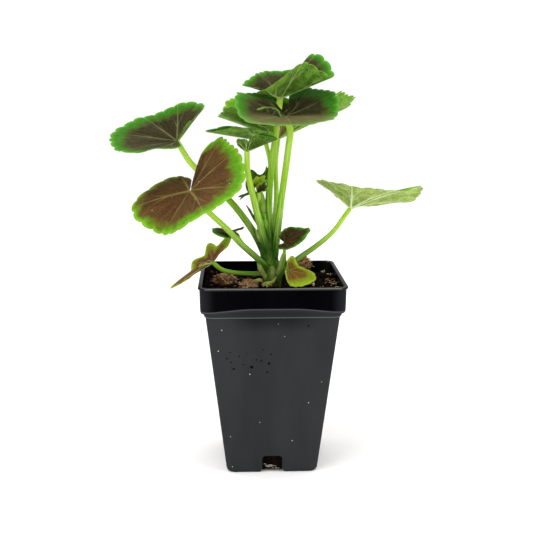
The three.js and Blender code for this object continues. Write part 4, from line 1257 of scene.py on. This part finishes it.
def make_lumps(skin):
    """Clumps of coir fibre and bark flakes, in the place of the part's lumps."""
    for lump in LUMPS:
        chance = random.Random(lump["name"])
        core, core_faces = pebble(chance, (0.75, 0.75, 0.75), 4, 0.2)
        bits = [(in_lump(lump, core), core_faces, 0.15)]
        for _ in range(FLAKES_PER_LUMP):
            spot = in_lump(lump, upward_ray(chance) * chance.uniform(0.6, 0.95))
            size = chance.uniform(0.35, 1.1)
            sizes = (1.3 * size, 0.5 * size, 0.3 * size)
            bits.append((*flake(chance, sizes, 0.3, spot), chance.uniform(0.2, 1)))
        for _ in range(FIBRES_PER_LUMP):
            spot = in_lump(lump, upward_ray(chance) * chance.uniform(0.7, 0.95))
            bits.append((*fibre(chance, spot, chance.uniform(2, 5)), chance.uniform(0.5, 1)))
        toned_piece(lump["name"] + "_bits", bits, "bark", skin, [lump["name"]])


def fibre(chance, start, length):
    """A thin curved strand that starts at a place."""
    heading = chance.uniform(0, 2 * math.pi)
    route = [np.array(start)]
    for _ in range(3):
        heading += chance.uniform(-0.9, 0.9)
        step = np.array([math.cos(heading), math.sin(heading), chance.uniform(-0.25, 0.3)])
        route.append(route[-1] + step * length / 3)
    return tube([tuple(point) for point in route], [0.1, 0.16, 0.06], 5, 0.5)


def make_litter(skin):
    """Loose flakes, crumbs and fibres that lie all over the soil."""
    chance = random.Random(41)
    bits = []
    while len(bits) < LITTER_FLAKES:
        x, y = [chance.uniform(-LITTER_HALF, LITTER_HALF) for _ in range(2)]
        if math.dist((x, y), MAIN_STEM["route"][0][:2]) < STEM_ROOM:
            continue
        size = chance.choice((0.3, 0.45, 0.6, 0.9, 1.3))
        spot = (x, y, soil_surface(x, y) + 0.15 * size)
        sizes = (size, 0.7 * size, 0.45 * size)
        bits.append((*flake(chance, sizes, 0.3, spot), chance.uniform(0, 0.8) ** 4))
    for _ in range(LITTER_FIBRES):
        x, y = [chance.uniform(1 - LITTER_HALF, LITTER_HALF - 1) for _ in range(2)]
        spot = (x, y, soil_surface(x, y) + 0.35)
        bits.append((*fibre(chance, spot, chance.uniform(2, 5)), chance.uniform(0.2, 0.8)))
    for y in np.repeat(EDGE_FIBRES, 3):
        spot = (LITTER_HALF - 0.5, y, chance.uniform(116, 118))
        bits.append((*fibre(chance, spot, 4), chance.uniform(0.6, 1)))
    for spot in FALLEN_FLAKES:
        bits.append((*flake(chance, (1.3, 0.8, 0.6), 0.3, spot), 0.9))
    toned_piece("soil_litter", bits, "bark", skin)


def make_pale_bits():
    """Grains of perlite on the soil, and pale root ends that show in the front drain notch."""
    chance = random.Random(7)
    skin = toned_material("pale_skin", "#8A7E6C", "#E0D3BB", "#FFFAEE")
    grains = []
    for x, y, radius in PERLITE:
        for _ in range(GRAINS_PER_SPOT):
            spot = (x + chance.gauss(0, 1.3 * radius), y + chance.gauss(0, 1.3 * radius),
                    soil_surface(x, y) + 0.6 * radius)
            size = radius * chance.uniform(0.35, 0.8)
            sizes = (1.5 * size, 0.8 * size, 0.6 * size)
            grains.append((*flake(chance, sizes, 0.25, spot), chance.uniform(0.2, 1)))
    toned_piece("perlite", grains, "peat", skin)
    roots = []
    wall = FOOT_WIDTH / 2
    lowest = [-NOTCH_WIDTH / 2 + 0.5, -wall + 0.3, FLOOR]
    highest = [NOTCH_WIDTH / 2 - 0.5, -wall + WALL, NOTCH_HEIGHT - 1]
    for _ in range(ROOT_ENDS):
        x = chance.uniform(-5.5, 3)
        root, root_faces = fibre(chance, (x, -wall + 1, chance.uniform(FLOOR, 4.6) - 0.3 * x), 3)
        roots.append((np.clip(root, lowest, highest), root_faces, chance.uniform(0.2, 1)))
    toned_piece("notch_roots", roots, "peat", skin)


def make_stage():
    mesh = bpy.data.meshes.new("floor")
    form = bmesh.new()
    bmesh.ops.create_circle(form, cap_ends=True, radius=FLOOR_RADIUS, segments=64)
    form.to_mesh(mesh)
    form.free()
    floor = placed("floor", mesh)
    shader = Shader("floor_paper")
    soft = shader.noise(shader.place(), 3, 2)
    paper = shader.mix(soft, "#FCFAFA", "#FFFEFE")
    mesh.materials.append(shader.finish(Base_Color=paper, Roughness=1, Specular_IOR_Level=0))


def make_lights():
    world = bpy.data.worlds.new("studio")
    world.use_nodes = True
    background = world.node_tree.nodes["Background"]
    background.inputs["Color"].default_value = (1, 1, 1, 1)
    background.inputs["Strength"].default_value = WORLD_STRENGTH
    bpy.context.scene.world = world
    for lamp in LAMPS:
        data = bpy.data.lights.new(lamp["name"], "AREA")
        data.size = lamp["size"]
        data.energy = lamp["power"]
        holder = placed(lamp["name"], data)
        holder.location = lamp["at"]
        aim = Vector(LAMP_AIM) - Vector(lamp["at"])
        holder.rotation_euler = aim.to_track_quat("-Z", "Y").to_euler()


def make_camera():
    data = bpy.data.cameras.new("camera")
    data.sensor_width = SENSOR_WIDTH
    data.lens = FOCAL_PIXELS / FRAME_PIXELS * SENSOR_WIDTH
    camera = placed("camera", data)
    camera.location = Vector(CAMERA_PLACE) * MM
    camera.rotation_euler = (math.radians(90 - CAMERA_DOWN), 0, -math.radians(CAMERA_RIGHT))
    bpy.context.scene.camera = camera


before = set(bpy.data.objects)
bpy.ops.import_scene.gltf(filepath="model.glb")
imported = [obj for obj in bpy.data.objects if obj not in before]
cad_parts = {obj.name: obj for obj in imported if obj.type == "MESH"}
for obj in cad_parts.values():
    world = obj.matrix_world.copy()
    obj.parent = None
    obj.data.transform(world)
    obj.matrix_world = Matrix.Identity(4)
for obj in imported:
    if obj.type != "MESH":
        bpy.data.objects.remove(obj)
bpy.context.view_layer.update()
make_camera()
make_lights()
make_stage()
make_pot()
make_marks()
make_soil()
bark_skin = toned_material("bark_skin", "#2A190A", "#C08A5A", "#FFE2B8")
make_lumps(bark_skin)
make_litter(bark_skin)
make_pale_bits()
make_stems()
make_stipules()
for each_leaf in LEAVES:
    make_leaf(each_leaf, [each_leaf["name"]])
for each_lobe in LOBES:
    make_leaf(each_lobe)
scene = bpy.context.scene
scene.view_settings.view_transform = "Standard"
